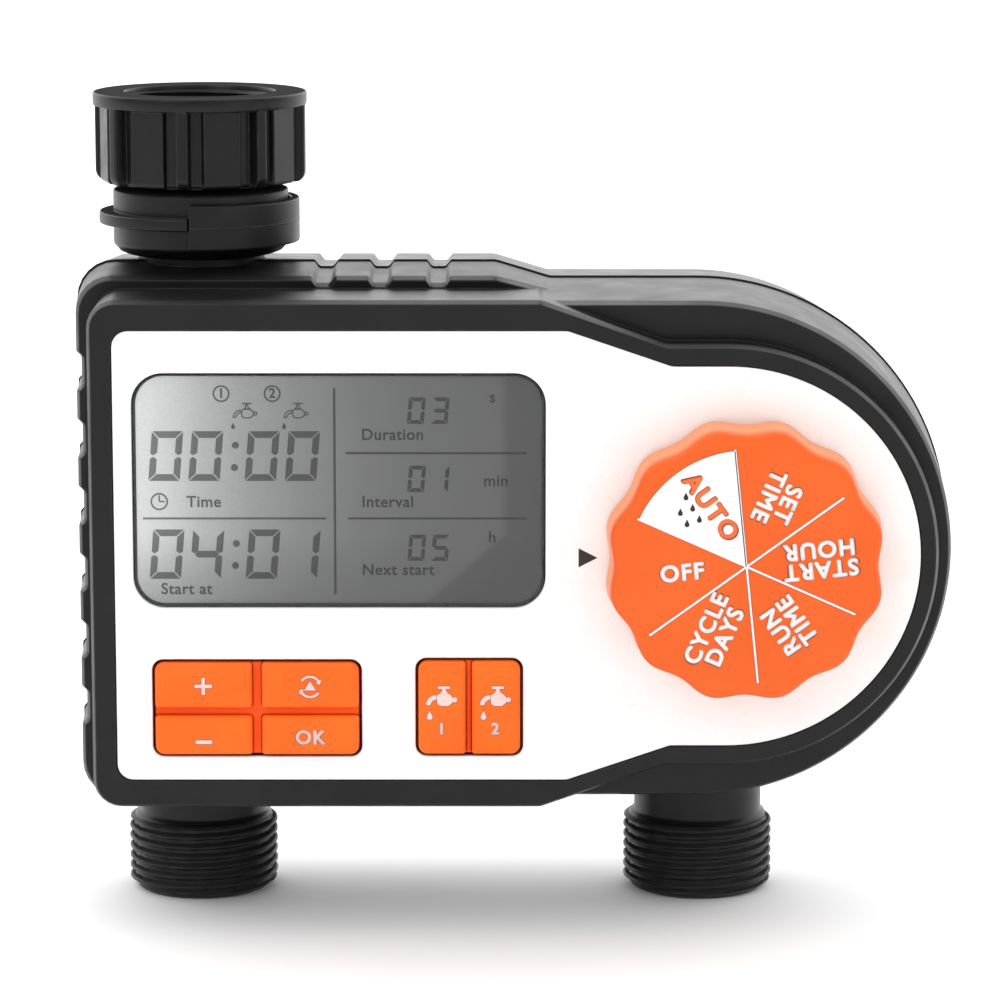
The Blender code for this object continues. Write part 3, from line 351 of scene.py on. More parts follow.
def extruded(name, outlines, near, far, bevel=0.0):
    """A flat piece in the XZ plane with holes, from near to far in Y, its edges rounded."""
    curve = bpy.data.curves.new(name, "CURVE")
    curve.dimensions = "2D"
    curve.fill_mode = "BOTH"
    curve.extrude = ((far - near) / 2 - bevel) * MM
    curve.bevel_depth = bevel * MM
    curve.bevel_resolution = 2
    curve.offset = -bevel * MM
    for points in outlines:
        add_spline(curve, [(x, z, 0.0) for x, z in points], True)
    upright = Matrix.Translation((0, (near + far) / 2 * MM, 0)) @ Matrix.Rotation(math.radians(90), 4, "X")
    return from_curve(name, curve, upright)


def tube(name, points, radius):
    """A round wire through points, as a mesh with closed ends."""
    curve = bpy.data.curves.new(name, "CURVE")
    curve.dimensions = "3D"
    curve.bevel_depth = radius * MM
    curve.bevel_resolution = 2
    curve.use_fill_caps = True
    add_spline(curve, points, False)
    return from_curve(name, curve, Matrix.Identity(4))


def merged(name, made):
    """Several objects as one piece of separate solids."""
    bm = bmesh.new()
    for one in made:
        bm.from_mesh(one.data)
        bpy.data.objects.remove(one)
    mesh = bpy.data.meshes.new(name)
    bm.to_mesh(mesh)
    bm.free()
    return link(bpy.data.objects.new(name, mesh))


def piece(made, look, node, replaces=True, sharp=32.0):
    """Gives a piece its material and shading, and rides it on the body of a CAD node."""
    made.data.materials.clear()
    made.data.materials.append(LOOKS[look])
    made.data.shade_smooth()
    made.data.set_sharp_from_angle(angle=math.radians(sharp))
    weighted = made.modifiers.new("Shading", "WEIGHTED_NORMAL")
    weighted.keep_sharp = True
    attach(made, body_of(frame["nodes"][node])[0])
    if replaces:
        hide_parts(node)
    return made


# --- materials ---


def rgba(colour):
    """A grey or an (r, g, b) as a colour with its alpha; a node's output passes through."""
    if isinstance(colour, float):
        colour = (colour,) * 3
    return (*colour, 1.0) if isinstance(colour, tuple) else colour


class Nodes:
    """A node tree, with short calls to add and join nodes."""

    def __init__(self, owner):
        self.owner = owner
        self.tree = owner.node_tree
        self.places = self.add("TexCoord")

    def add(self, kind, inputs=None, **settings):
        """Adds a node, sets or joins its inputs and returns its outputs."""
        made = self.tree.nodes.new("ShaderNode" + kind)
        for key, value in settings.items():
            setattr(made, key, value)
        for key, value in (inputs or {}).items():
            self.feed(made.inputs[key], value)
        return made.outputs

    def feed(self, socket, value):
        if isinstance(value, bpy.types.NodeSocket):
            self.tree.links.new(value, socket)
        else:
            socket.default_value = value

    def noise(self, scale, detail=3.0):
        """Noise with features of about 1/scale metres."""
        inputs = {"Vector": self.places["Object"], "Scale": scale, "Detail": detail}
        return self.add("TexNoise", inputs)["Fac"]

    def span(self, value, low, high, first=0.3, last=0.7, kind="LINEAR"):
        """A value in first..last mapped onto low..high."""
        inputs = {"Value": value, "From Min": first, "From Max": last, "To Min": low, "To Max": high}
        return self.add("MapRange", inputs, interpolation_type=kind)["Result"]

    def math(self, operation, first, second, **settings):
        return self.add("Math", {0: first, 1: second}, operation=operation, **settings)["Value"]

    def parts(self, vector):
        return self.add("SeparateXYZ", {"Vector": vector})

    def blend(self, share, first, second):
        """A colour between two colours; each may be a grey, an (r, g, b) or a node's output."""
        inputs = {"Factor": share, "A": rgba(first), "B": rgba(second)}
        return self.add("Mix", inputs, data_type="RGBA")["Result"]

    def edges(self, radius):
        """How strongly the surface bends within a radius, 0 on flats to 1 on edges, and its normal."""
        rounded = self.add("Bevel", {"Radius": radius}, samples=4)["Normal"]
        flat = self.add("NewGeometry")["Normal"]
        agreement = self.add("VectorMath", {0: rounded, 1: flat}, operation="DOT_PRODUCT")["Value"]
        return self.span(agreement, 0.0, 1.0, 0.995, 0.85), rounded

    def finish(self, height=None, depth=0.0, strength=0.0, normal=None, **values):
        """Sets the shader's inputs, with a bump if a height is given, and returns the material."""
        if height:
            inputs = {"Height": height, "Distance": depth * MM, "Strength": strength}
            if normal:
                inputs["Normal"] = normal
            values["Normal"] = self.add("Bump", inputs)["Normal"]
        for key, value in values.items():
            self.feed(self.tree.nodes["Principled BSDF"].inputs[key.replace("_", " ")], value)
        return self.owner


def material_nodes(name):
    material = bpy.data.materials.new(name)
    material.use_nodes = True
    return Nodes(material)


def moulded(name, dark, light, roughness, grain=2600.0, depth=0.03, wear=None, edge=0.3, dust=None, **values):
    """Moulded plastic or rubber: mottled colour and gloss, a fine grain, and edges painted lighter as a
    highlight, in patches.

    The grain's depth and the edges' width are in millimetres. Faces that look up take a dust
    colour, if there is one, and lose their shine.
    """
    nodes = material_nodes(name)
    colour = nodes.blend(nodes.span(nodes.noise(90.0, 5.0), 0.0, 1.0), dark, light)
    if dust:
        height = nodes.parts(nodes.add("NewGeometry")["Normal"])["Z"]
        upward = nodes.span(height, 0.0, 1.0, 0.6, 0.95)
        colour = nodes.blend(upward, colour, dust)
        values["Specular_IOR_Level"] = nodes.span(upward, values["Specular_IOR_Level"], 0.0, 0.0, 1.0)
    bent, normal = nodes.edges(edge * MM)
    # Painted highlight: the edges are blended toward a lighter colour, in patches set by noise.
    if wear:
        edge_highlight_mask = nodes.math("MULTIPLY", bent, nodes.span(nodes.noise(260.0, 4.0), 0.15, 1.0))
        colour = nodes.blend(edge_highlight_mask, colour, wear)
    values.update(Base_Color=colour, Roughness=nodes.span(nodes.noise(170.0, 4.0), *roughness))
    return nodes.finish(nodes.noise(grain, 2.0), depth, 0.5, normal, **values)


def metal(name, dark, light, roughness):
    """Metal with fine streaks and stains."""
    nodes = material_nodes(name)
    streaks = nodes.noise(900.0, 4.0)
    colour = nodes.blend(nodes.span(nodes.noise(220.0), 0.0, 1.0), dark, light)
    gloss = nodes.span(streaks, *roughness)
    normal = nodes.edges(0.15 * MM)[1]
    return nodes.finish(streaks, 0.01, 0.4, normal, Base_Color=colour, Metallic=1.0, Roughness=gloss)


# The greys of the display's painted reflection, from light to dark, as (share, grey)
DISPLAY_REFLECTION_GREYS = (
    (0.0, 0.74), (0.08, 0.60), (0.17, 0.43), (0.28, 0.30), (0.4, 0.215),
    (0.55, 0.15), (0.7, 0.117), (0.89, 0.1), (0.915, 0.066), (1.0, 0.058),
)


def display_reflection_look(name, strength, grain):
    """The display's grey with a painted reflection: light on the left, fading to dark on the right and
    towards the bottom.
    """
    nodes = material_nodes(name)
    parts = nodes.parts(nodes.places["Object"])
    across = nodes.span(parts["X"], 0.0, 1.0, WINDOW_LOW.x * MM, WINDOW_HIGH.x * MM)
    below = nodes.span(parts["Z"], 0.2, 0.0, WINDOW_LOW.z * MM, (WINDOW_LOW.z + 12) * MM)
    # Painted reflection: the grey follows the place across and up the display.
    ramp = nodes.add("ValToRGB", {"Fac": nodes.math("ADD", across, below, use_clamp=True)})
    elements = ramp[0].node.color_ramp.elements
    while len(elements) < len(DISPLAY_REFLECTION_GREYS):
        elements.new(0.5)
    for element, (position, grey) in zip(elements, DISPLAY_REFLECTION_GREYS):
        element.position = position
        element.color = rgba(grey * strength)
    colour = nodes.blend(nodes.span(nodes.noise(2400.0), 0.0, grain), ramp["Color"], 0.08)
    gloss = nodes.span(nodes.noise(700.0), 0.55, 0.7)
    height = nodes.noise(900.0, 2.0)
    return nodes.finish(height, 0.01, 0.1, Base_Color=colour, Roughness=gloss, Specular_IOR_Level=0.1)


def window_look():
    """Clear plastic: see-through head on, glossy at a slant, with faint dust."""
    nodes = material_nodes("window_clear")
    dust = nodes.span(nodes.noise(900.0, 6.0), 0.0, 0.02, 0.55, 0.8)
    clear = nodes.add("BsdfTransparent", {"Color": nodes.blend(dust, (0.97, 0.975, 0.975), 0.7)})["BSDF"]
    glossy = nodes.add("BsdfGlossy", {"Roughness": nodes.span(nodes.noise(400.0), 0.02, 0.07)})["BSDF"]
    outside = nodes.span(nodes.add("NewGeometry")["Backfacing"], 1.0, 0.0, 0.0, 1.0)
    gloss = nodes.math("MULTIPLY", nodes.add("Fresnel", {"IOR": 1.49})["Fac"], outside)
    mixed = nodes.add("MixShader", {"Fac": gloss, 1: clear, 2: glossy})["Shader"]
    nodes.feed(nodes.tree.nodes["Material Output"].inputs["Surface"], mixed)
    return nodes.owner


def board_look():
    """A circuit board: solder mask over darker tracks."""
    nodes = material_nodes("board_green")
    upright = nodes.add("Mapping", {"Rotation": (math.radians(90), 0, 0), "Vector": nodes.places["Object"]})
    tracks = {"Vector": upright["Vector"], "Scale": 160.0, "Mortar Size": 0.03}
    tracks.update({"Color1": rgba((0.012, 0.11, 0.04)), "Color2": rgba((0.02, 0.16, 0.06))})
    bricks = nodes.add("TexBrick", {**tracks, "Mortar": rgba((0.05, 0.3, 0.12))})
    gloss = nodes.span(nodes.noise(300.0), 0.25, 0.45)
    return nodes.finish(bricks["Fac"], 0.04, 0.5, Base_Color=bricks["Color"], Roughness=gloss)


def banded_look(name, first, second, direction, width, roughness, metallic):
    """Fine parallel bands, such as wound wire or a woven strainer."""
    nodes = material_nodes(name)
    inputs = {"Vector": nodes.places["Object"], "Scale": 0.5 / (width * MM), "Distortion": 0.4}
    bands = nodes.add("TexWave", inputs, bands_direction=direction)["Fac"]
    colour = nodes.blend(bands, first, second)
    gloss = nodes.span(nodes.noise(400.0), roughness, roughness + 0.15)
    return nodes.finish(bands, 0.1, 0.6, Base_Color=colour, Roughness=gloss, Metallic=metallic)


def dial_look():
    """Orange plastic, slightly translucent, with its rim painted lighter for light showing through the thin
    plastic.
    """
    nodes = material_nodes("dial_orange")
    depth = nodes.parts(nodes.places["Object"])["Y"]
    # Painted light: the sides behind the face are blended toward a lighter orange.
    rim = nodes.span(depth, 0.0, 1.0, (DIAL_LOW.y + 0.8) * MM, (DIAL_LOW.y + 4.0) * MM)
    mottle = nodes.span(nodes.noise(70.0, 5.0), 0.0, 1.0)
    face = nodes.blend(mottle, (0.76, 0.1, 0.002), (0.8, 0.115, 0.006))
    bent, normal = nodes.edges(0.4 * MM)
    colour = nodes.blend(rim, face, (0.98, 0.3, 0.12))
    # Painted highlight: the edges are blended toward a lighter orange.
    colour = nodes.blend(nodes.span(bent, 0.0, 0.35, 0.0, 1.0), colour, (1.0, 0.34, 0.15))
    values = {"Subsurface_Weight": 0.12, "Subsurface_Scale": 2 * MM, "Subsurface_Radius": (1.0, 0.35, 0.1)}
    values.update(Base_Color=colour, Roughness=nodes.span(nodes.noise(150.0, 4.0), 0.36, 0.5))
    return nodes.finish(nodes.noise(2200.0, 2.0), 0.02, 0.4, normal, Specular_IOR_Level=0.35, **values)


def make_looks():
    """Every material; those of the CAD nodes have the names of the record's slots."""
    dull = {"Specular_IOR_Level": 0.28}
    soft = {"Subsurface_Weight": 0.08, "Subsurface_Scale": 1.5 * MM, "Specular_IOR_Level": 0.3}
    # The lighter edge colours given here are painted highlights on the edges.
    highlit_edges = {"wear": (1.0, 0.3, 0.06), "edge": 0.6}
    return (
        moulded("case_black", 0.003, 0.006, (0.34, 0.44), wear=0.05, **dull),
        moulded("port_black", 0.002, 0.0045, (0.3, 0.4), wear=0.05, dust=0.036, **dull),
        moulded("plate_white", (0.86, 0.86, 0.865), 0.9, (0.25, 0.36), depth=0.01),
        window_look(),
        # The display, its segments and its faint marks all carry the same painted reflection, the marks
        # darker.
        display_reflection_look("display_grey", 1.0, 0.1),
        display_reflection_look("display_segment", 0.24, 0.05),
        display_reflection_look("display_faint", 0.2, 0.05),
        moulded("key_orange", (0.88, 0.125, 0.003), (0.94, 0.15, 0.006), (0.5, 0.62), **highlit_edges, **soft),
        moulded("web_orange", (0.86, 0.078, 0.002), (0.92, 0.098, 0.004), (0.55, 0.7), **soft),
        dial_look(),
        moulded("print_key", (0.82, 0.53, 0.5), (0.88, 0.62, 0.58), (0.45, 0.6)),
        moulded("print_white", (0.86, 0.83, 0.82), (0.93, 0.91, 0.9), (0.4, 0.55), grain=4000.0),
        moulded("print_edge", (0.33, 0.05, 0.015), (0.45, 0.07, 0.02), (0.5, 0.6)),
        moulded("print_orange", (0.93, 0.15, 0.03), (1.0, 0.19, 0.04), (0.45, 0.6)),
        moulded("print_black", 0.008, 0.014, (0.45, 0.6)),
        moulded("moulding_pale", (0.6, 0.6, 0.57), (0.7, 0.7, 0.67), (0.4, 0.55), wear=(0.8, 0.8, 0.78)),
        moulded("manifold_white", (0.7, 0.7, 0.65), (0.8, 0.8, 0.76), (0.35, 0.5)),
        moulded("contact_strip_pink", (0.6, 0.22, 0.22), (0.72, 0.32, 0.3), (0.6, 0.75)),
        moulded("seal_black", 0.008, 0.016, (0.65, 0.85)),
        board_look(),
        metal("screw_steel", (0.42, 0.43, 0.44), 0.62, (0.22, 0.42)),
        metal("spring_steel", (0.5, 0.5, 0.51), 0.68, (0.15, 0.32)),
        metal("contact_brass", (0.62, 0.4, 0.13), (0.8, 0.56, 0.22), (0.2, 0.38)),
        banded_look("coil_copper", (0.5, 0.16, 0.06), (0.85, 0.4, 0.18), "X", 0.5, 0.3, 1.0),
        moulded("cell_wrapper", (0.03, 0.034, 0.045), (0.05, 0.056, 0.07), (0.2, 0.32), Metallic=0.5),
        banded_look("filter_mesh", (0.12, 0.13, 0.14), (0.6, 0.62, 0.64), "DIAGONAL", 0.7, 0.35, 0.6),
        moulded("lead_red", (0.38, 0.012, 0.012), (0.5, 0.022, 0.02), (0.4, 0.55)),
    )


LOOKS = {look.name.split(".")[0]: look for look in make_looks()}


# --- case ---

DOOR_PLATE = ((DOOR_LOW.x, DOOR_LOW.z + 1.6), (DOOR_HIGH.x, DOOR_HIGH.z - 1.6))
HINGE_X = DOOR_LOW.x + 1.0
HINGE_Y = BACK_Y - 1.45
SCREW_SEAT_Y = BACK_Y - 15.75  # where the housing screws' heads sit
GROOVES = (42.0, 3.4, 7)  # the grip grooves across the back: the lowest, their pitch and count

KEYS_4 = ("key_plus", "key_cycle", "key_minus", "key_ok")
KEYS_2 = ("key_zone_1", "key_zone_2")
PAD_BORDER = 0.5
PAD_CORNER = 1.9
WINDOW_CORNER = 5.1
POINTER_TIP = 24.7  # from the dial's centre


def notch(position, edge, size, along):
    """Four rounded corners of a slanted notch in an edge, in order along it."""
    width, depth = size
    inner = edge - math.copysign(depth, edge)
    steps = ((-width / 2, edge, 0.5), (-width / 2 + NOTCH_SLANT, inner, 0.9))
    steps += ((width / 2 - NOTCH_SLANT, inner, 0.9), (width / 2, edge, 0.5))
    return [(position + along * offset, level, radius) for offset, level, radius in steps]


def case_outline(shape, inset=0.0, notched=False):
    """The case's outline, anticlockwise from the end of the round end's arc."""
    left, half = shape["left"] + inset, shape["half"] - inset
    corner = max(shape["corner"] - inset, 0.6)
    slope_start, slope_end = (x - 0.16 * inset for x in shape["slope"])
    end_x, end_radius = shape["end"][0], shape["end"][1] - inset
    top = [(end_x, end_radius, 0), (slope_end, end_radius, BEND_RADIUS), (slope_start, half, BEND_RADIUS)]
    side = []
    if notched:
        for x in reversed(TOP_NOTCHES):
            top += notch(x, half, TOP_NOTCH, -1)
        for z in SIDE_NOTCHES:
            side += [(level, -along, radius) for along, level, radius in notch(-z, left, SIDE_NOTCH, 1)]
    top.append((left, half, corner))
    bottom = [(x, -z, radius) for x, z, radius in reversed(top)]
    points = soften(top + side + bottom, 6)
    points += arc((end_x, 0), end_radius, -90, 90, 72)[1:-1]
    return [(x, z + MID_Z) for x, z in points]


def round_end_outline(radius):
    """The D-shaped step around the dial."""
    end_x = BODY["end"][0]
    points = [(end_x, radius), (ROUND_STEP_LEFT, radius), (ROUND_STEP_LEFT, -radius), (end_x, -radius)]
    points += arc((end_x, 0), radius, -90, 90, 72)[1:-1]
    return [(x, z + MID_Z) for x, z in points]


def port_holes(side):
    """Cutters for the three round openings that both shells share."""
    low, high = MID_Z - PARTING["half"], MID_Z + PARTING["half"]
    holes = [
        rod(f"{side}_{name}_hole", (x, PORT_Y, low - 2), (x, PORT_Y, low + 12), 11.6, 64)
        for name, x in OUTLETS.items()
    ]
    inlet = (NUT_CENTRE.x, PORT_Y, high - 8), (NUT_CENTRE.x, PORT_Y, high + 2)
    return [*holes, rod(f"{side}_inlet_hole", *inlet, 11.3, 64)]


def group_box(*nodes):
    """The box in the XZ plane round several CAD nodes."""
    lows, highs = zip(*(box_of(node) for node in nodes))
    low = (min(v.x for v in lows), min(v.z for v in lows))
    return low, (max(v.x for v in highs), max(v.z for v in highs))


def window_and_pads():
    """The plate's openings: name, low and high corner, corner radius and the ledge left behind."""
    found = [("window", WINDOW_LOW.xz, WINDOW_HIGH.xz, WINDOW_CORNER, 0.25)]
    for name, keys in (("keys_4", KEYS_4), ("keys_2", KEYS_2)):
        low, high = group_box(*keys)
        low = (low[0] - PAD_BORDER, low[1] - PAD_BORDER)
        high = (high[0] + PAD_BORDER, high[1] + PAD_BORDER)
        found.append((name, low, high, PAD_CORNER, 0.0))
    return found


def make_front():
    rim = PARTING_Y - GAP / 2
    end_radius = BODY["end"][1]
    body = [(y, case_outline(BODY, inset, True)) for y, inset in from_depth(BODY_Y, CHAMFER)]
    body += [(rim - 0.06, case_outline(PARTING, 0.32, True)), (rim, case_outline(PARTING, 0.38, True))]
    step = [(y, ROUND_STEP_RADIUS - inset) for y, inset in from_depth(ROUND_STEP_Y, CHAMFER)]
    step += [(BODY_Y + 1.4, end_radius + 0.03), (BODY_Y + 3, end_radius - 0.3)]
    bezel = from_depth(FACE_Y, CHAMFER) + [(BODY_Y + 2, 0.0)]
    front = join(
        loft("case_front", body),
        stepped("round_step", round_end_outline, step),
        stepped("bezel", lambda inset: case_outline(BEZEL, inset), bezel),
    )
    open_back = rim + 2
    inner_body = [(BODY_Y + WALL, case_outline(BODY, WALL)), (open_back, case_outline(PARTING, WALL))]
    cut(
        front,
        prism("bezel_hollow", case_outline(BEZEL, WALL), FRONT_WALL_BACK_Y, open_back),
        prism("round_hollow", round_end_outline(ROUND_STEP_RADIUS - WALL), ROUND_STEP_Y + WALL, open_back),
        loft("body_hollow", inner_body),
        prism("plate_recess", case_outline(PLATE, -0.2), FACE_Y - 2, PLATE_BACK_Y + 0.2),
    )
    inside = FRONT_WALL_BACK_Y - 0.6
    boss_end = BOSS_MEET_Y - GAP / 2
    board_y = box_of("main_pcb")[0].y - GAP
    bosses = [peg("seal_boss", DIAL_CENTRE, inside, inside + 4, 8.0, 48)]
    bosses += [peg(name + "_boss", place, inside, boss_end, 3.0) for name, place in HOUSING_SCREWS.items()]
    bosses += [peg(name + "_post", place, inside, board_y, 2.6) for name, place in BOARD_SCREWS.items()]
    join(front, *bosses)
    openings = [
        prism(name + "_hole", rounded_rectangle(low, high, radius, ledge), PLATE_BACK_Y - 2, inside + 2)
        for name, low, high, radius, ledge in window_and_pads()
    ]
    openings.append(peg("shaft_hole", DIAL_CENTRE, FACE_Y, inside + 6, 3.3, 48))
    openings.append(peg("seal_seat", DIAL_CENTRE, FACE_Y, inside + 1, 5.5, 48))
    for name, place in HOUSING_SCREWS.items():
        openings.append(peg(name + "_pilot", place, boss_end - 8.6, boss_end + 2, 1.65, 24))
    for name, place in BOARD_SCREWS.items():
        openings.append(peg(name + "_pilot", place, board_y - 5.2, board_y + 2.8, 1.25, 24))
    cut(front, *openings, *port_holes("front"))
    piece(front, "case_black", "front_shell")


def make_plate():
    outlines = [case_outline(PLATE)]
    for name, low, high, radius, _ in window_and_pads():
        spread = GAP if name == "window" else 0.0
        outlines.append(rounded_rectangle(low, high, radius, -spread, 12))
    outlines.append(circle(DIAL_CENTRE.xz, 6.0))
    piece(extruded("front_plate", outlines, FACE_Y, PLATE_BACK_Y, 0.12), "plate_white", "face_plate")
    tip = DIAL_CENTRE.x - POINTER_TIP
    outline = [(tip, MID_Z - 0.05), (tip - 3.2, MID_Z + 1.6), (tip - 3.2, MID_Z - 1.7)]
    pointer = extruded("dial_pointer", [outline], FACE_Y - 0.02, FACE_Y + 0.03)
    piece(pointer, "print_black", "face_plate", False)


def make_rear():
    rim = PARTING_Y + GAP / 2
    inside = BACK_Y - WALL
    angles = [math.radians(90 - 15 * k) for k in range(7)]
    outside = [(rim, 0.03), (rim + 0.05, 0.0)]
    for a in angles:
        outside.append((BACK_Y - BACK_ROUND * (1 - math.cos(a)), BACK_DRAFT + BACK_ROUND * (1 - math.sin(a))))
    hollow = [(rim - 2, WALL), (inside - 1.5, WALL + INNER_DRAFT), (inside, WALL + INNER_DRAFT + 1.5)]
    rear = stepped("case_rear", lambda inset: case_outline(PARTING, inset, True), outside)
    cut(rear, stepped("rear_hollow", lambda inset: case_outline(PARTING, inset), hollow))
    (left, low), (right, high) = DOOR_PLATE
    boss_start = BOSS_MEET_Y + GAP / 2
    inner = []
    for name, place in HOUSING_SCREWS.items():
        inner.append(peg(name + "_sleeve", place, boss_start, inside + 0.3, 4.2, 48))
    for name, bottom, top in (("low", low - 4.0, low - 0.7), ("top", high + 0.7, high + 2.4)):
        start, end = (HINGE_X - 2.4, inside - 1.4, bottom), (HINGE_X + 2.6, inside + 0.8, top)
        inner.append(slab("hinge_block_" + name, start, end))
    join(rear, *inner)
    opening = rounded_rectangle((left - 1.0, low - GAP), (right + GAP, high + GAP), 0.8)
    cutters = [
        prism("door_opening", opening, inside - 1.0, BACK_Y + 2),
        rod("hinge_pocket", (HINGE_X, HINGE_Y, low - 2.0), (HINGE_X, HINGE_Y, high + 2.0), 1.0),
    ]
    for name, place in HOUSING_SCREWS.items():
        cutters.append(peg(name + "_hole", place, boss_start - 2, BACK_Y, 1.75))
        cutters.append(peg(name + "_sink", place, SCREW_SEAT_Y, BACK_Y + 2, 3.3, 48))
    lowest, pitch, count = GROOVES
    for k in range(count):
        z = lowest + pitch * k
        wide = rounded_rectangle((-30.0, z), (30.0, z + 1.3), 0.6)
        narrow = rounded_rectangle((-29.7, z + 0.3), (29.7, z + 1.0), 0.3)
        cutters.append(loft(f"back_groove_{k}", [(BACK_Y - 0.5, narrow), (BACK_Y + 0.1, wide)]))
    cut(rear, *cutters, *port_holes("rear"))
    piece(rear, "case_black", "rear_shell")


def make_screws():
    """The five housing screws, with pan heads and a cross recess; their threads are plain rings."""
    seat = SCREW_SEAT_Y
    for name, place in HOUSING_SCREWS.items():
        tip = box_of(name)[0].y
        head = ((0, 2.3), (1.6, 2.25), (2.4, 1.9), (2.85, 1.2), (2.9, 0.3), (1.35, 0.3), (1.2, -0.6))
        profile = from_height(seat, head)
        for k in range(1, 12):
            profile += from_height(seat - k, ((1.2, 0), (1.5, -0.35), (1.2, -0.7)))
        profile += [(0.9, tip + 0.7), (0, tip)]
        screw = lathe(name + "_fine", profile, (place.x, 0, place.z), "Y", 40, False)
        for wide, high in ((1.6, 0.25), (0.25, 1.6)):
            reach = Vector((wide, 0.9, high))
            middle = Vector((place.x, seat + 2.1, place.z))
            cut(screw, slab("recess", middle - reach, middle + reach))
        piece(screw, "screw_steel", name)


# --- display ---

DISPLAY_Y = PLATE_BACK_Y + 0.08
INK = 0.05  # how far print stands off its surface
HAIR = 0.002  # how much lower each overlapping shape lies, so that none coincide
WIDER = 2.3  # how much bolder words are spaced out
SLANT = 0.085  # the digits' lean
LIT = {"0": "abcdef", "1": "bc", "3": "abgcd", "4": "fgbc", "5": "afgcd"}
# Numbers as (text, distance down), each digit's left edge, and a digit's width, height and stroke
TIMES = (("0000", 18.25), ("0401", 35.1)), (2.4, 9.15, 18.65, 25.45), (5.3, 8.5, 1.15)
COUNTS = (("03", 8.5), ("01", 20.15), ("05", 32.0)), (46.1, 50.1), (2.85, 4.5, 0.66)
COLON_X = 16.85
COLON_DOTS = (2.3, 6.1)  # their heights above the digits' feet
# Dividing lines: start, end and width
LINES = (
    ((33.88, 2.4), (33.88, 37.8), 0.42),
    ((1.4, 24.7), (32.4, 24.7), 0.34),
    ((35.75, 13.5), (66.3, 13.5), 0.38),
    ((36.1, 24.7), (66.3, 24.7), 0.34),
)
ZONES = (("1", 14.85), ("2", 23.45))  # each watering zone's number, and how far across it is
ZONE_DOWN = 3.35
CLOCK = (4.2, 21.8)
LABEL_HEIGHT = 1.9
# Labels: text, left edge and distance down
LABELS = (
    ("Time", 8.8, 21.9), ("Start at", 4.3, 36.9), ("Duration", 38.4, 10.4), ("Interval", 38.4, 21.9),
    ("Next start", 38.4, 33.6), ("s", 60.0, 4.0), ("min", 59.0, 18.3), ("h", 59.8, 28.0),
)


def window_point(across, down):
    """A place on the display from the window's left and top edges."""
    return WINDOW_LOW.x + across, WINDOW_HIGH.z - down


def bar(start, end, width, taper=0.05):
    """A flat line with pointed ends between two points."""
    start, end = Vector(start), Vector(end)
    along = (end - start).normalized()
    side = Vector((-along.y, along.x)) * width / 2
    tip = along * width * taper
    corners = (start, start + tip + side, end - tip + side, end, end - tip - side, start + tip - side)
    return [(point.x, point.y) for point in corners]


def digit(character, across, down, width, height, stroke):
    """A seven-segment digit's outlines with mitred corners; across and down give its lower left."""
    def placed(points, mirror, flip):
        """The points on the display, mirrored or upside down where asked, and slanted."""
        made = []
        for x, z in points:
            x, z = width - x if mirror else x, height - z if flip else z
            made.append((corner_x + x + SLANT * z, corner_z + z))
        return made

    corner_x, corner_z = window_point(across, down)
    gap = stroke * 0.12
    middle = height / 2
    inner, shoulder = height - stroke, middle + 0.5 * stroke
    flat = [(gap, height), (width - gap, height), (width - stroke - gap, inner), (stroke + gap, inner)]
    upright = [(0, height - gap), (stroke, inner - gap), (stroke, shoulder)]
    upright += [(0.45 * stroke, middle + gap), (0, middle + 0.4 * stroke)]
    bridge = [(0.5 * stroke, middle), (stroke, shoulder), (width - stroke, shoulder)]
    bridge += [(width - x, height - z) for x, z in bridge]
    shapes = {
        "a": (flat, False, False), "d": (flat, False, True), "g": (bridge, False, False),
        "f": (upright, False, False), "b": (upright, True, False),
        "e": (upright, False, True), "c": (upright, True, True),
    }
    return [placed(*shapes[segment]) for segment in LIT[character]]


def grown(outline, spread):
    """An outline pushed outward by a spread."""
    points = [Vector(p) for p in outline]
    area = sum(a.x * b.y - b.x * a.y for a, b in zip(points, points[1:] + points[:1]))
    side = math.copysign(1.0, area)
    made = []
    for i, here in enumerate(points):
        back = (here - points[i - 1]).normalized()
        ahead = (points[(i + 1) % len(points)] - here).normalized()
        normals = [Vector((v.y, -v.x)) * side for v in (back, ahead)]
        out = (normals[0] + normals[1]).normalized()
        reach = spread / max(out.dot(normals[1]), 0.5)
        made.append(tuple(here + out * reach))
    return made


def ink(name, outlines, look, node, depth, thickness=INK):
    """Print on a face: thin raised shapes."""
    shapes = []
    for i, outline in enumerate(outlines):
        shapes.append(prism(f"{name}_{i}", outline, depth - thickness + HAIR * (i % 10), depth + INK))
    piece(merged(name, shapes), look, node, False)


def edged_ink(name, outlines, look, node, depth, spread):
    """Print with a thin dark edge, which stands half as far off the face."""
    ink(name + "_edge", [grown(outline, spread) for outline in outlines], "print_edge", node, depth, INK / 2)
    ink(name, outlines, look, node, depth)


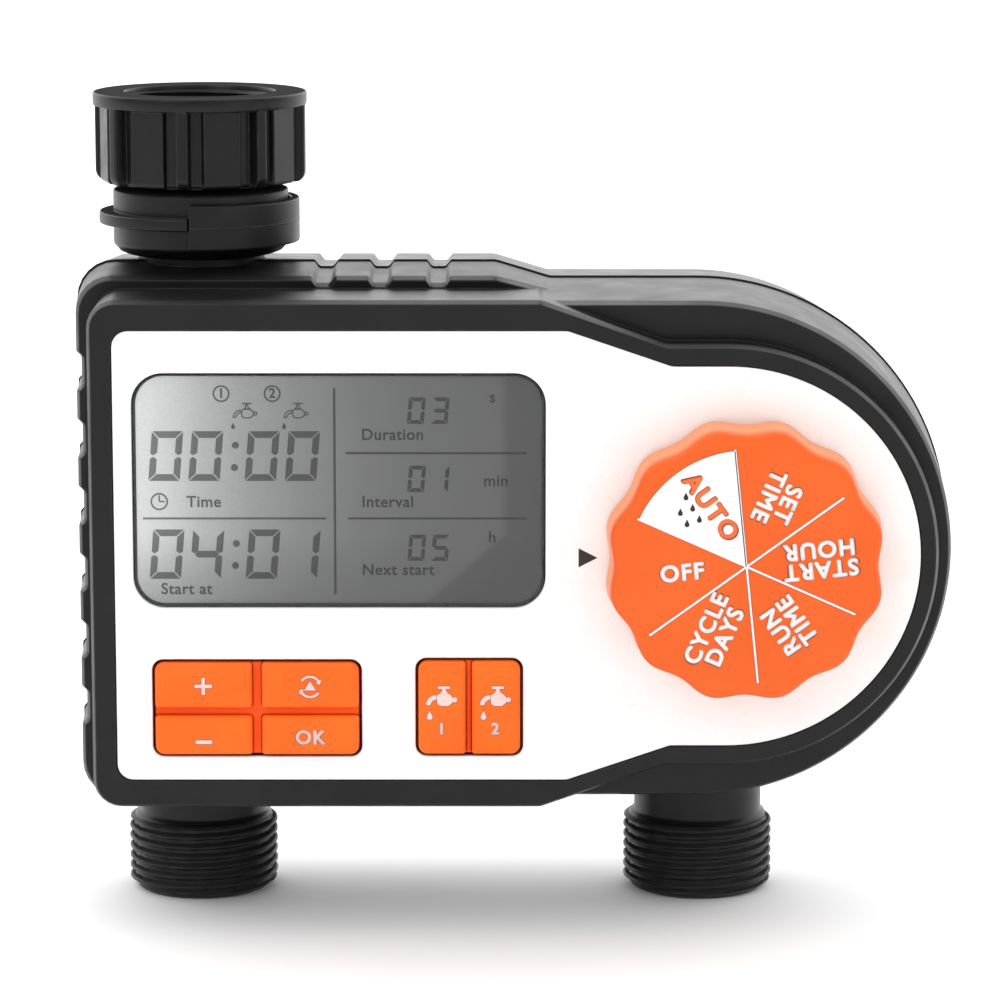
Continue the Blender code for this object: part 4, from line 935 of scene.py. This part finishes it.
def lettering(name, words, look, node, depth, spread, thickness=INK, align="CENTER"):
    """Words as thin raised shapes: (text, x, z, height, turn in degrees) about each word's centre.

    They are bold: copies of each word are spread out in a ring.
    """
    made = []
    for i, (text, x, z, height, turn) in enumerate(words):
        curve = bpy.data.curves.new(f"{name}_{i}", "FONT")
        curve.body = text
        curve.align_x = align
        curve.align_y = "CENTER"
        curve.size = height / 0.7 * MM
        curve.space_character = 1.0 + WIDER * spread / height
        curve.resolution_u = 4
        curve.extrude = (thickness + INK) / 2 * MM
        drawn = from_curve(f"{name}_{i}", curve, Matrix.Rotation(math.radians(90), 4, "X"))
        for k, (shift_x, shift_z) in enumerate([(0.0, 0.0), *circle((0, 0), spread, 8)]):
            copy = link(bpy.data.objects.new(f"{name}_{i}_{k}", drawn.data.copy()))
            place = (x + shift_x, depth - (thickness - INK) / 2 + HAIR * k, z + shift_z)
            turned = Matrix.Rotation(math.radians(-turn), 4, "Y")
            copy.data.transform(Matrix.Translation(Vector(place) * MM) @ turned)
            made.append(copy)
        bpy.data.objects.remove(drawn)
    piece(merged(name, made), look, node, False)


def edged_lettering(names, words, look, node, depth, spreads):
    """Words with a thin dark edge; the names and spreads are the edge's and then the words'."""
    lettering(names[0], words, "print_edge", node, depth, spreads[0], INK / 2)
    lettering(names[1], words, look, node, depth, spreads[1])


def ring_outlines(centre, radius, width, first=0, last=360):
    """A ring, or part of one, as two flat halves."""
    middle = (first + last) / 2
    halves = []
    for start, end in ((first, middle), (middle, last)):
        outer = arc(centre, radius + width / 2, start, end, 14)
        halves.append(outer + arc(centre, radius - width / 2, end, start, 14))
    return halves


def tap_outlines(x, z, size):
    """A little garden tap with its handle, body and spout; x and z give its centre, size its height."""
    def at(*points):
        return [(x + a * size, z + b * size) for a, b in points]

    def rounded(radius, *points):
        return soften([(*point, radius * size) for point in at(*points)])

    handle = rounded(0.06, (-0.3, 0.5), (-0.3, 0.36), (0.3, 0.36), (0.3, 0.5))
    stem = at((-0.1, 0.4), (-0.1, 0.26), (-0.24, 0.1), (0.24, 0.1), (0.1, 0.26), (0.1, 0.4))
    lower = (-0.34, 0.08), (-0.34, -0.34), (-0.16, -0.46), (0.2, -0.46), (0.42, -0.28)
    body = rounded(0.1, *lower, (0.42, -0.06), (0.24, 0.14), (-0.2, 0.14))
    tail = circle((x + 0.5 * size, z - 0.16 * size), 0.13 * size, 20)
    elbow = (x - 0.36 * size, z - 0.42 * size)
    spout = arc(elbow, 0.5 * size, 90, 180, 8) + arc(elbow, 0.27 * size, 180, 90, 8)
    return [handle, stem, body, tail, spout]


def drop_outline(x, z, size):
    """A falling drop with a pointed top."""
    return [(x, z + size * 0.6), *arc((x, z - size * 0.15), size * 0.34, 30, -210, 16)]


def make_display():
    def pane(inset):
        return rounded_rectangle(WINDOW_LOW.xz, WINDOW_HIGH.xz, WINDOW_CORNER, inset, 12)

    panel_back = box_of("lcd_panel")[1].y
    piece(extruded("display_window", [pane(0.0)], FACE_Y, PLATE_BACK_Y, 0.3), "window_clear", "lcd_window")
    piece(extruded("display_panel", [pane(0.35)], DISPLAY_Y, panel_back, 0.05), "display_grey", "lcd_panel")
    digits = []
    for numbers, places, size in (TIMES, COUNTS):
        for text, down in numbers:
            for character, across in zip(text, places):
                digits += digit(character, across, down, *size)
            for lift in COLON_DOTS if numbers is TIMES[0] else ():
                digits.append(circle(window_point(COLON_X + SLANT * lift * 0.6, down - lift), 0.6, 20))
    ink("display_digits", digits, "display_segment", "lcd_panel", DISPLAY_Y)
    lines = [bar(window_point(*start), window_point(*end), width) for start, end, width in LINES]
    ink("display_lines", lines, "display_segment", "lcd_panel", DISPLAY_Y)
    icons = []
    taps = []
    for _, across in ZONES:
        icons += ring_outlines(window_point(across, ZONE_DOWN), 1.3, 0.28)
        icons.append(drop_outline(*window_point(across + 1.95, 8.9), 1.0))
        for outline in tap_outlines(*window_point(across + 4.3, 6.3), 2.8):
            top = DISPLAY_Y - INK + HAIR * len(taps)
            taps.append(extruded("tap", [outline, grown(outline, -0.2)], top, DISPLAY_Y + INK))
    clock = window_point(*CLOCK)
    icons += ring_outlines(clock, 1.35, 0.28)
    for hand in ((0, 1.1), (0.9, 0)):
        icons.append(bar(clock, (clock[0] + hand[0], clock[1] + hand[1]), 0.25, 0.1))
    ink("display_icons", icons, "display_faint", "lcd_panel", DISPLAY_Y)
    piece(merged("display_taps", taps), "display_faint", "lcd_panel", False)
    labels = [(text, *window_point(across, down), LABEL_HEIGHT, 0) for text, across, down in LABELS]
    lettering("display_labels", labels, "display_faint", "lcd_panel", DISPLAY_Y, 0.05, align="LEFT")
    numbers = [(text, *window_point(across, ZONE_DOWN), 1.6, 0) for text, across in ZONES]
    lettering("display_numbers", numbers, "display_faint", "lcd_panel", DISPLAY_Y, 0.06)


# --- keys ---

# A key's rounded edge and the web's, as (depth behind the face, inset)
KEY_CROWN = ((0.0, 1.6), (0.02, 1.2), (0.1, 0.7), (0.26, 0.32), (0.52, 0.08), (0.85, 0.0))
WEB_CROWN = ((0.3, 0.8), (0.38, 0.6), (0.6, 0.5))


def key_outline(node, inset=0.0):
    """A key's face; the corners that lie on its pad's corners are rounder."""
    low, high = box_of(node)
    pad_low, pad_high = group_box(*(KEYS_4 if node in KEYS_4 else KEYS_2))
    at_left, at_right = low.x - pad_low[0] < 0.01, pad_high[0] - high.x < 0.01
    at_bottom, at_top = low.z - pad_low[1] < 0.01, pad_high[1] - high.z < 0.01
    corners = ((at_right, at_top), (at_left, at_top), (at_left, at_bottom), (at_right, at_bottom))
    return rounded_rectangle(low.xz, high.xz, [1.5 if all(both) else 0.55 for both in corners], inset)


def make_keys():
    sheet_low, sheet_high = box_of("keypad_sheet")
    back = sheet_high.y
    for node in (*KEYS_4, *KEYS_2):
        low, high = box_of(node)
        crown = from_depth(low.y, KEY_CROWN) + [(back, 0.0)]
        key = stepped(node + "_cap", lambda inset: key_outline(node, inset), crown)
        join(key, peg(node + "_stem", centre_of(node), back - 1.0, high.y, 2.5, 48))
        piece(key, "key_orange", node)
    shelf = back - 1.2
    web = slab("keypad_web", (sheet_low.x, shelf, sheet_low.z), (sheet_high.x, back, sheet_high.z))
    mesa = from_depth(FACE_Y, WEB_CROWN) + [(shelf + 0.5, 0.45)]
    for name, low, high, radius, _ in window_and_pads()[1:]:
        join(web, stepped(name + "_mesa", lambda inset: rounded_rectangle(low, high, radius, inset), mesa))
    for node in (*KEYS_4, *KEYS_2):
        cut(web, prism(node + "_hole", key_outline(node, -0.12), FACE_Y - 1, back + 1))
    piece(web, "web_orange", "keypad_sheet")


def face_of(node):
    """A key's face: its centre and the depth that print sits at."""
    centre = centre_of(node)
    return centre.x, centre.z, box_of(node)[0].y


def key_mark(node, outlines, depth):
    edged_ink(node + "_mark", outlines, "print_key", node, depth, 0.09)


def make_key_marks():
    x, z, depth = face_of("key_plus")
    plus = []
    for turn in range(4):
        for point in ((1.5, -0.31), (1.5, 0.31), (0.31, 0.31)):
            turned = Matrix.Rotation(math.radians(90 * turn), 2) @ Vector(point)
            plus.append((x + turned.x, z + turned.y))
    key_mark("key_plus", [plus], depth)
    x, z, depth = face_of("key_minus")
    minus = bar((x - 1.45, z - 1.1), (x + 1.45, z - 1.1), 0.7)
    key_mark("key_minus", [minus], depth)
    x, z, depth = face_of("key_cycle")
    centre = (x, z - 0.1)
    arrows = ring_outlines(centre, 1.75, 0.45, 35, 145) + ring_outlines(centre, 1.75, 0.45, 215, 325)
    for turn in (35, 215):
        corners = ((1.75, turn - 24), (2.4, turn), (1.1, turn))
        arrows.append([arc(centre, reach, angle, angle, 1)[0] for reach, angle in corners])
    arrows.append([(x, z + 0.95), (x - 1.05, z - 0.75), (x + 1.05, z - 0.75)])
    key_mark("key_cycle", arrows, depth)
    x, z, depth = face_of("key_ok")
    words = [("OK", x, z - 0.4, 2.3, 0)]
    edged_lettering(("key_ok_edge", "key_ok_mark"), words, "print_key", "key_ok", depth, (0.21, 0.14))
    for node, number in zip(KEYS_2, "12"):
        x, z, depth = face_of(node)
        shapes = [*tap_outlines(x + 0.35, z + 2.1, 3.6), drop_outline(x - 2.1, z - 1.25, 1.5)]
        key_mark(node, shapes, depth)
        names = (node + "_number_edge", node + "_number")
        edged_lettering(names, [(number, x - 0.1, z - 3.6, 1.9, 0)], "print_key", node, depth, (0.2, 0.14))


# --- dial ---

DIAL_RADIUS = 23.85
DIAL_LOBES = 12
DIAL_LOBE_DEPTH = 0.6
DIAL_FRONT_EDGE = ((0.0, 1.7), (0.05, 1.3), (0.2, 0.95), (0.5, 0.7), (1.0, 0.55), (2.6, 0.45), (5.5, 0.3))
DIAL_BACK_EDGE = ((-0.9, 0.1), (-0.25, 0.0), (0.0, 0.25))
DIAL_SECTORS = (96, 36, -24, -84, -144, 156)  # the angles of the lines between them
AUTO_ANGLE = 126
WORD_HEIGHT = 2.7
# Words: their sector's middle angle, how far out they sit, and their lines
DIAL_WORDS = (
    (186, 10.8, ("OFF",)), (66, 12.4, ("SET", "TIME")), (6, 12.4, ("START", "HOUR")),
    (-54, 12.4, ("RUN", "TIME")), (-114, 12.4, ("CYCLE", "DAYS")),
)
DIAL_DROPS = ((15.6, -1.3), (13.4, -1.5), (11.2, -1.7), (14.0, -3.6), (11.8, -3.8))


def scallop(inset):
    """The dial's lobed outline, drawn in from its widest."""
    points = []
    for i in range(DIAL_LOBES * 20):
        angle = math.tau * i / (DIAL_LOBES * 20)
        reach = DIAL_RADIUS - inset - DIAL_LOBE_DEPTH * (1 + math.cos(DIAL_LOBES * angle))
        points.append((DIAL_CENTRE.x + reach * math.cos(angle), DIAL_CENTRE.z + reach * math.sin(angle)))
    return points


def make_dial():
    front, back = DIAL_LOW.y, DIAL_HIGH.y
    sections = from_depth(front, DIAL_FRONT_EDGE) + from_depth(back, DIAL_BACK_EDGE)
    dial = stepped("dial_knob", scallop, sections)
    hollow = from_height(back, ((5.2, 1), (19.5, 1), (19.5, -6.2), (5.2, -6.2)))
    cut(
        dial,
        lathe("dial_hollow", hollow, (DIAL_CENTRE.x, 0, DIAL_CENTRE.z), "Y"),
        peg("dial_bore", DIAL_CENTRE, front + 2.2, back + 1, 3.3, 48),
    )
    piece(dial, "dial_orange", "program_dial")


def radial_place(middle, along, across):
    """A place in a sector: along its middle line from the centre, and across it."""
    angle = math.radians(middle)
    x = DIAL_CENTRE.x + along * math.cos(angle) + across * math.sin(angle)
    z = DIAL_CENTRE.z + along * math.sin(angle) - across * math.cos(angle)
    return x, z


def radial_words(middle, texts, height, along, shift=0.0):
    """Words that read from the rim toward the centre, stacked about a sector's middle line."""
    placed = []
    for i, text in enumerate(texts):
        across = shift + height * 1.27 * ((len(texts) - 1) / 2 - i)
        placed.append((text, *radial_place(middle, along, across), height, middle + 180))
    return placed


def make_dial_print():
    node, depth, centre = "program_dial", DIAL_LOW.y, tuple(DIAL_CENTRE.xz)
    reach = 20.0
    lines = [bar(centre, arc(centre, reach, angle, angle, 1)[0], 0.36) for angle in DIAL_SECTORS]
    edged_ink("dial_lines", lines, "print_white", node, depth, 0.08)
    sector = [centre, *arc(centre, reach - 0.3, AUTO_ANGLE - 30, AUTO_ANGLE + 30, 24)]
    edged_ink("dial_sector", [sector], "print_white", node, depth, 0.1)
    words = []
    for middle, along, texts in DIAL_WORDS:
        words += radial_words(middle, texts, WORD_HEIGHT, along)
    edged_lettering(("dial_words_edge", "dial_words"), words, "print_white", node, depth, (0.24, 0.17))
    auto = radial_words(AUTO_ANGLE, ("AUTO",), 2.95, 11.7, 1.0)
    on_sector = depth - INK
    edged_lettering(("dial_auto_edge", "dial_auto"), auto, "print_orange", node, on_sector, (0.26, 0.18))
    drops = [drop_outline(*radial_place(AUTO_ANGLE, *place), 1.2) for place in DIAL_DROPS]
    ink("dial_drops", drops, "print_black", node, on_sector)


# --- inlet and outlets ---

NUT_RIBS = 8
NUT_FIRST_RIB = -96
NUT_BAND = 2.3  # from the nut's top down to where its ribs start
NUT_BORE = 12.95
THREAD_PITCH = 1.814
THREAD_RADIUS = 13.22
THREAD_ROOT = 12.06


def smooth_step(value, low, high):
    share = min(max((value - low) / (high - low), 0.0), 1.0)
    return share * share * (3 - 2 * share)


def thread_wave(angle, height):
    """The helix's height from root (0) to crest (1)."""
    phase = height / THREAD_PITCH - angle / math.tau
    return smooth_step(0.5 - 0.5 * math.cos(math.tau * phase), 0.2, 0.97)


def turned_in(height, reach):
    """How far a rounded lower edge, reach high, draws a wall in: 0 above it and 0.8 at its foot."""
    drop = min(max((NUT_LOW.z + reach - height) / reach, 0.0), 1.0)
    return 1 - math.sqrt(1 - drop * drop * 0.96)


def nut_radius(angle, radius, height):
    """Ribs, recessed panels with a flat facet, and the thread inside."""
    high = NUT_HIGH.z
    if radius < 13.5:
        strength = smooth_step(height, high - 8.4, high - 7.4) * smooth_step(high - height, 0.9, 1.7)
        return radius - 0.62 * strength * thread_wave(angle, height)
    if radius < 16.2 or height > high - 1.3:
        return radius
    spacing = 360 / NUT_RIBS
    turn = (math.degrees(angle) - NUT_FIRST_RIB) % spacing
    from_rib = min(turn, spacing - turn)
    from_facet = abs(turn - spacing / 2)
    facet = 17.1 / math.cos(math.radians(min(from_facet, 11.0)))
    panel = facet - 1.0 * smooth_step(from_facet, 11.0, 11.8) - 1.1 * turned_in(height, 0.9)
    rib = radius - 1.9 * turned_in(height, 2.0)
    is_rib = 1 - smooth_step(from_rib, 2.8, 4.2)
    in_band = smooth_step(height, high - NUT_BAND - 0.3, high - NUT_BAND)
    return panel + (rib - panel) * max(is_rib, in_band)


def make_nut():
    low, high = NUT_LOW.z, NUT_HIGH.z
    full = (NUT_HIGH.x - NUT_LOW.x) / 2
    wall = full - 0.15
    band = high - NUT_BAND
    seat = high - 13.2
    rim = ((14.2, -0.01), (full - 0.5, -0.03), (full - 0.22, -0.1), (full - 0.05, -0.25), (full, -0.5))
    profile = from_height(high, rim)
    profile += from_height(band, ((full - 0.03, 0.25), (full - 0.12, 0), (full - 0.14, -0.1)))
    profile += [(wall, band - 0.3), (wall, band - 1), (wall, low + 6)]
    profile += [(wall, low + 0.15 * k) for k in range(20, 0, -1)]
    profile += from_height(low, ((16.1, 0.03), (14.4, 0), (10.6, 0), (10.35, 0.25)))
    profile += from_height(seat, ((10.35, -0.25), (10.6, 0), (12.6, 0), (NUT_BORE, 0.4)))
    profile += from_height(high, [(NUT_BORE, -8.6)] + [(NUT_BORE, 7.6 * k / 52 - 8.4) for k in range(53)])
    profile += from_height(high, ((12.98, -0.5), (13.1, -0.15), (13.4, 0)))
    nut = lathe("tap_nut", profile, (NUT_CENTRE.x, PORT_Y, 0), "Z", 480, True, nut_radius)
    piece(nut, "port_black", "inlet_nut", sharp=38)


def part_turned(name, profile, first, last):
    """A closed (radius, height) profile turned about the inlet's axis between two angles."""
    rings = []
    for x, y in arc((0, 0), 1.0, first, last, 72):
        rings.append([(NUT_CENTRE.x + r * x, PORT_Y + r * y, h) for r, h in profile])
    return object_from(name, skin(rings))


def crossing(x, radius):
    """The angle in degrees at which a circle about the inlet's axis crosses x."""
    return math.degrees(math.acos(x / radius))


def make_inlet():
    centre = (NUT_CENTRE.x, PORT_Y, 0)
    foot = box_of("inlet_adapter")[0].z
    bore = ((8.9, 0), (11.0, 0), (11.0, 3.6), (11.25, 3.8), (11.25, 4.3), (11.0, 4.5), (11.0, 5.9))
    collar = ((13.2, 6.1), (14.2, 6.5), (15.2, 7.6), (15.3, 8.0), (15.3, 17.1), (12.2, 17.6), (10.0, 17.9))
    top = ((10.0, 21.3), (12.4, 21.3), (12.4, 23.5), (10.4, 23.5), (10.4, 22.4), (8.9, 22.4))
    profile = rounded_profile(from_height(foot, bore + collar + top))
    adapter = lathe("inlet_collar", profile, centre, steps=128)
    ring = from_height(foot, ((14.9, 11.3), (17.75, 11.3), (17.75, 13.4), (14.9, 13.4)))
    edge = crossing(-1.3, 17.75)
    join(adapter, part_turned("collar_ring", rounded_profile(ring, 0.35), edge, 360 - edge))
    piece(adapter, "port_black", "inlet_adapter")
    low, high = (v.z for v in box_of("inlet_clip"))
    middle = (low + high) / 2
    outline = rounded_profile([(15.7, low), (17.25, low), (17.25, high), (15.7, high)])
    seam = max(i for i, (r, h) in enumerate(outline) if r > 17.2 and h < middle) + 1
    outline[seam:seam] = from_height(middle, ((17.25, -0.1), (17.32, -0.03), (17.32, 0.03), (17.25, 0.1)))
    edge = crossing(-0.9, 16.5)
    piece(part_turned("collar_clip", outline, -edge, edge), "port_black", "inlet_clip")
    low, high = (v.z for v in box_of("inlet_washer"))
    section = rounded_profile([(7.8, low), (11.7, low), (11.7, high), (7.8, high)], 0.4)
    piece(lathe("tap_washer", section, centre), "seal_black", "inlet_washer")
    low, high = (v.z for v in box_of("inlet_filter"))
    cup = [(0.02, low), (6.9, low), (7.4, low + 0.5), (8.3, high - 0.9), (10.0, high - 0.6), (10.0, high)]
    cup += [(7.6, high), (6.7, low + 0.9), (0.02, low + 0.8)]
    piece(lathe("inlet_strainer", cup, centre), "filter_mesh", "inlet_filter")


def outlet_radius(angle, radius, height):
    """Adds the helical thread to an outlet's outside."""
    if abs(radius - THREAD_ROOT) > 0.01:
        return radius
    strength = smooth_step(height, 0.5, 1.3) * smooth_step(13.3 - height, 0.0, 0.9)
    return THREAD_ROOT + (THREAD_RADIUS - THREAD_ROOT) * strength * thread_wave(angle, height)


def make_outlet(node):
    lip = box_of(node)[1].z
    flange = lip - 1.6
    socket = flange - 5.3
    profile = [(12.6, lip), (12.6, flange), (11.3, flange), (11.3, 14.1), (11.5, 13.75), (11.95, 13.5)]
    profile += [(THREAD_ROOT, 13.3 - 12.6 * k / 110) for k in range(111)]
    profile += [(11.9, 0.35), (11.5, 0.05), (11.2, 0.0), (8.5, 0.0), (8.15, 0.12), (8.0, 0.5)]
    profile += [(8.0, socket), (9.7, socket), (9.7, lip)]
    outlet = lathe(node + "_spigot", profile, (OUTLETS[node], PORT_Y, 0), "Z", 128, True, outlet_radius)
    piece(outlet, "port_black", node, sharp=42)


# --- battery bay and valves ---


def make_door():
    low, high = DOOR_PLATE[0][1], DOOR_PLATE[1][1]
    near, far = BACK_Y - 1.75, BACK_Y
    place = centre_of("door_screw")
    sections = [(near, 0.25), (near + 0.25, 0.0)]
    sections += from_depth(far, ((-0.5, 0.0), (-0.2, 0.12), (-0.05, 0.3), (0.0, 0.55)))
    door = stepped("door_cover", lambda inset: rounded_rectangle(*DOOR_PLATE, 1.2, inset), sections)
    join(
        door,
        peg("door_boss", place, near - 1.6, far - 0.4, 6.0, 64),
        rod("hinge_pin", (HINGE_X, HINGE_Y, low - 1.6), (HINGE_X, HINGE_Y, high + 1.6), 0.7),
    )
    recess = from_height(far, ((5.3, -2.3), (5.3, -0.3), (5.6, 1), (0, 1), (0, -2.3)))
    cutters = [
        lathe("screw_recess", recess, (place.x, 0, place.z), "Y", 64, False),
        peg("screw_passage", place, near - 4, far, 2.2, 48),
    ]
    for k in range(5):
        x = HINGE_X + 8.0 + 2.2 * k
        wide = rounded_rectangle((x - 0.1, place.z - 6.6), (x + 1.1, place.z + 6.6), 0.6)
        narrow = rounded_rectangle((x + 0.2, place.z - 6.2), (x + 0.8, place.z + 6.2), 0.3)
        cutters.append(loft(f"grip_{k}", [(far - 0.5, narrow), (far + 0.15, wide)]))
    piece(cut(door, *cutters), "case_black", "battery_door")
    tip = box_of("door_screw")[0].y
    head = ((0.02, -0.1), (4.2, -0.1), (4.6, -0.22), (4.85, -0.5), (4.9, -2.0), (1.9, -2.0))
    profile = from_height(far, head) + [(1.9, tip + 0.6), (1.5, tip), (0.02, tip)]
    screw = lathe("coin_screw", profile, (place.x, 0, place.z), "Y", 72, False)
    low, high = (place.x - 3.6, far - 1.2, place.z - 0.6), (place.x + 3.6, far + 1, place.z + 0.6)
    cut(screw, slab("coin_slot", low, high))
    piece(screw, "case_black", "door_screw")
    low, high = box_of("door_gasket")
    outlines = [rounded_rectangle(low.xz, high.xz, 2.0), rounded_rectangle(low.xz, high.xz, 2.4, 1.4)]
    piece(extruded("door_seal", outlines, low.y, high.y, 0.3), "seal_black", "door_gasket")


def make_cells():
    for node, nub_side in (("battery_1", 1), ("battery_2", -1)):
        low, high = box_of(node)
        radius = (high.z - low.z) / 2
        end = (high.x - low.x) / 2
        shoulder = end - 1.3
        can = [(radius - 0.7, 0.15 - end), (radius - 0.2, 0.2 - end), (radius, 0.5 - end)]
        can += [(radius, shoulder - 0.5), (radius - 0.2, shoulder - 0.1), (radius - 1.2, shoulder)]
        can += [(0.02, shoulder - 0.2), (0.02, 0.3 - end)]
        flat = [(0.02, -end), (radius - 0.9, -end), (radius - 0.9, 0.6 - end), (0.02, 0.6 - end)]
        nub = [(0.02, end), (2.4, end), (2.7, end - 0.25), (2.7, shoulder - 0.3), (0.02, shoulder - 0.3)]
        flat, nub, can = (
            lathe(node + name, [(r, h * nub_side) for r, h in profile], centre_of(node), "X", steps, False)
            for name, profile, steps in (("_end", flat, 64), ("_nub", nub, 64), ("_can", can, 72))
        )
        piece(merged(node + "_contacts", [flat, nub]), "screw_steel", node, False)
        piece(can, "cell_wrapper", node)


def make_springs():
    """Each valve's return spring, as a fixed coil; on the real valve it shortens as its plunger lifts."""
    wire = 0.35
    turns, per_turn = 4, 28
    for number in "12":
        node = "plunger_spring_" + number
        low, high = box_of(node)
        centre = centre_of(node)
        radius = (high.z - low.z) / 2 - wire
        first, last = low.x + wire * 1.2, high.x - wire * 1.2
        points = []
        for k in range(turns * per_turn + 1):
            angle = math.tau * k / per_turn
            x = first + (last - first) * k / (turns * per_turn)
            points.append((x, centre.y + radius * math.cos(angle), centre.z + radius * math.sin(angle)))
        spring = piece(tube(f"return_spring_{number}", points, wire), "spring_steel", node)
        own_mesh(spring)


def finish_cad_nodes():
    """Better materials, and softened edges where they show, for the CAD nodes that stay."""
    for node in frame["nodes"].values():
        if node.hide_render:
            continue
        node.data.materials[0] = LOOKS[node.data.materials[0].name.split(".")[0]]
        rounding = node.modifiers.new("Rounding", "BEVEL")
        rounding.width = 0.12 * MM
        rounding.segments = 2
        rounding.limit_method = "ANGLE"
        rounding.angle_limit = math.radians(40)


# --- stage ---

CAMERA_TARGET = (-2.25, FACE_Y, 76.0)
CAMERA_DISTANCE = 738
CAMERA_TILT = 10.1


def make_stage():
    """A flat pale floor, just under the object."""
    mesh = bpy.data.meshes.new("studio_floor")
    corners = ((-2.6, -1.4), (2.6, -1.4), (2.6, 3.4), (-2.6, 3.4))
    mesh.from_pydata([(x, y, -0.2 * MM) for x, y in corners], [], [(0, 1, 2, 3)])
    floor = link(bpy.data.objects.new("studio_floor", mesh))
    nodes = material_nodes("studio_paper")
    shade = nodes.blend(nodes.span(nodes.noise(6.0), 0.0, 1.0), 0.93, 0.95)
    gloss = nodes.span(nodes.noise(40.0), 0.8, 0.9)
    floor.data.materials.append(nodes.finish(Base_Color=shade, Roughness=gloss))


def make_world():
    """White to the camera; as a light it is bright above and behind, and dim in front."""
    world = bpy.data.worlds.new("studio")
    bpy.context.scene.world = world
    world.use_nodes = True
    world.node_tree.nodes.clear()
    nodes = Nodes(world)
    parts = nodes.parts(nodes.places["Generated"])
    above = nodes.span(parts["Z"], 0.2, 1.3, -0.1, 0.75, "SMOOTHSTEP")
    behind = nodes.span(parts["Y"], 0.0, 1.4, -0.2, 0.7, "SMOOTHSTEP")
    strength = nodes.math("ADD", above, behind)
    light = nodes.add("Background", {"Color": rgba(1.0), "Strength": strength})["Background"]
    seen = nodes.add("Background", {"Color": rgba(1.0), "Strength": 1.0})["Background"]
    to_camera = nodes.add("LightPath")["Is Camera Ray"]
    mixed = nodes.add("MixShader", {"Fac": to_camera, 1: light, 2: seen})["Shader"]
    nodes.add("OutputWorld", {"Surface": mixed})


def area_light(name, place, size, power):
    """A square light, its place and size in metres, that faces the object's middle."""
    light = bpy.data.lights.new(name, "AREA")
    light.shape = "RECTANGLE"
    light.size = light.size_y = size
    light.energy = power
    lamp = link(bpy.data.objects.new(name, light))
    lamp.location = place
    lamp.rotation_euler = (Vector((0, 0, MID_Z * MM)) - Vector(place)).to_track_quat("-Z", "Y").to_euler()
    lamp.visible_camera = False


def make_camera():
    """The view looks down at the case's face."""
    camera = link(bpy.data.objects.new("camera", bpy.data.cameras.new("camera")))
    camera.data.sensor_width = 36.0
    camera.data.lens = 157.3
    camera.data.clip_start = 0.05
    camera.data.clip_end = 20.0
    tilt = math.radians(CAMERA_TILT)
    away = Vector((0, -math.cos(tilt), math.sin(tilt)))
    camera.location = (Vector(CAMERA_TARGET) + away * CAMERA_DISTANCE) * MM
    camera.rotation_euler = (-away).to_track_quat("-Z", "Y").to_euler()
    bpy.context.scene.camera = camera
    bpy.context.scene.view_settings.view_transform = "Standard"


make_front()
make_plate()
make_rear()
make_screws()
make_display()
make_keys()
make_key_marks()
make_dial()
make_dial_print()
make_nut()
make_inlet()
for outlet in OUTLETS:
    make_outlet(outlet)
make_door()
make_cells()
make_springs()
finish_cad_nodes()
make_stage()
make_world()
area_light("key", (-0.55, -0.75, 0.62), 0.5, 1.6)
area_light("fill", (0.75, -0.8, 0.35), 0.6, 0.8)
make_camera()
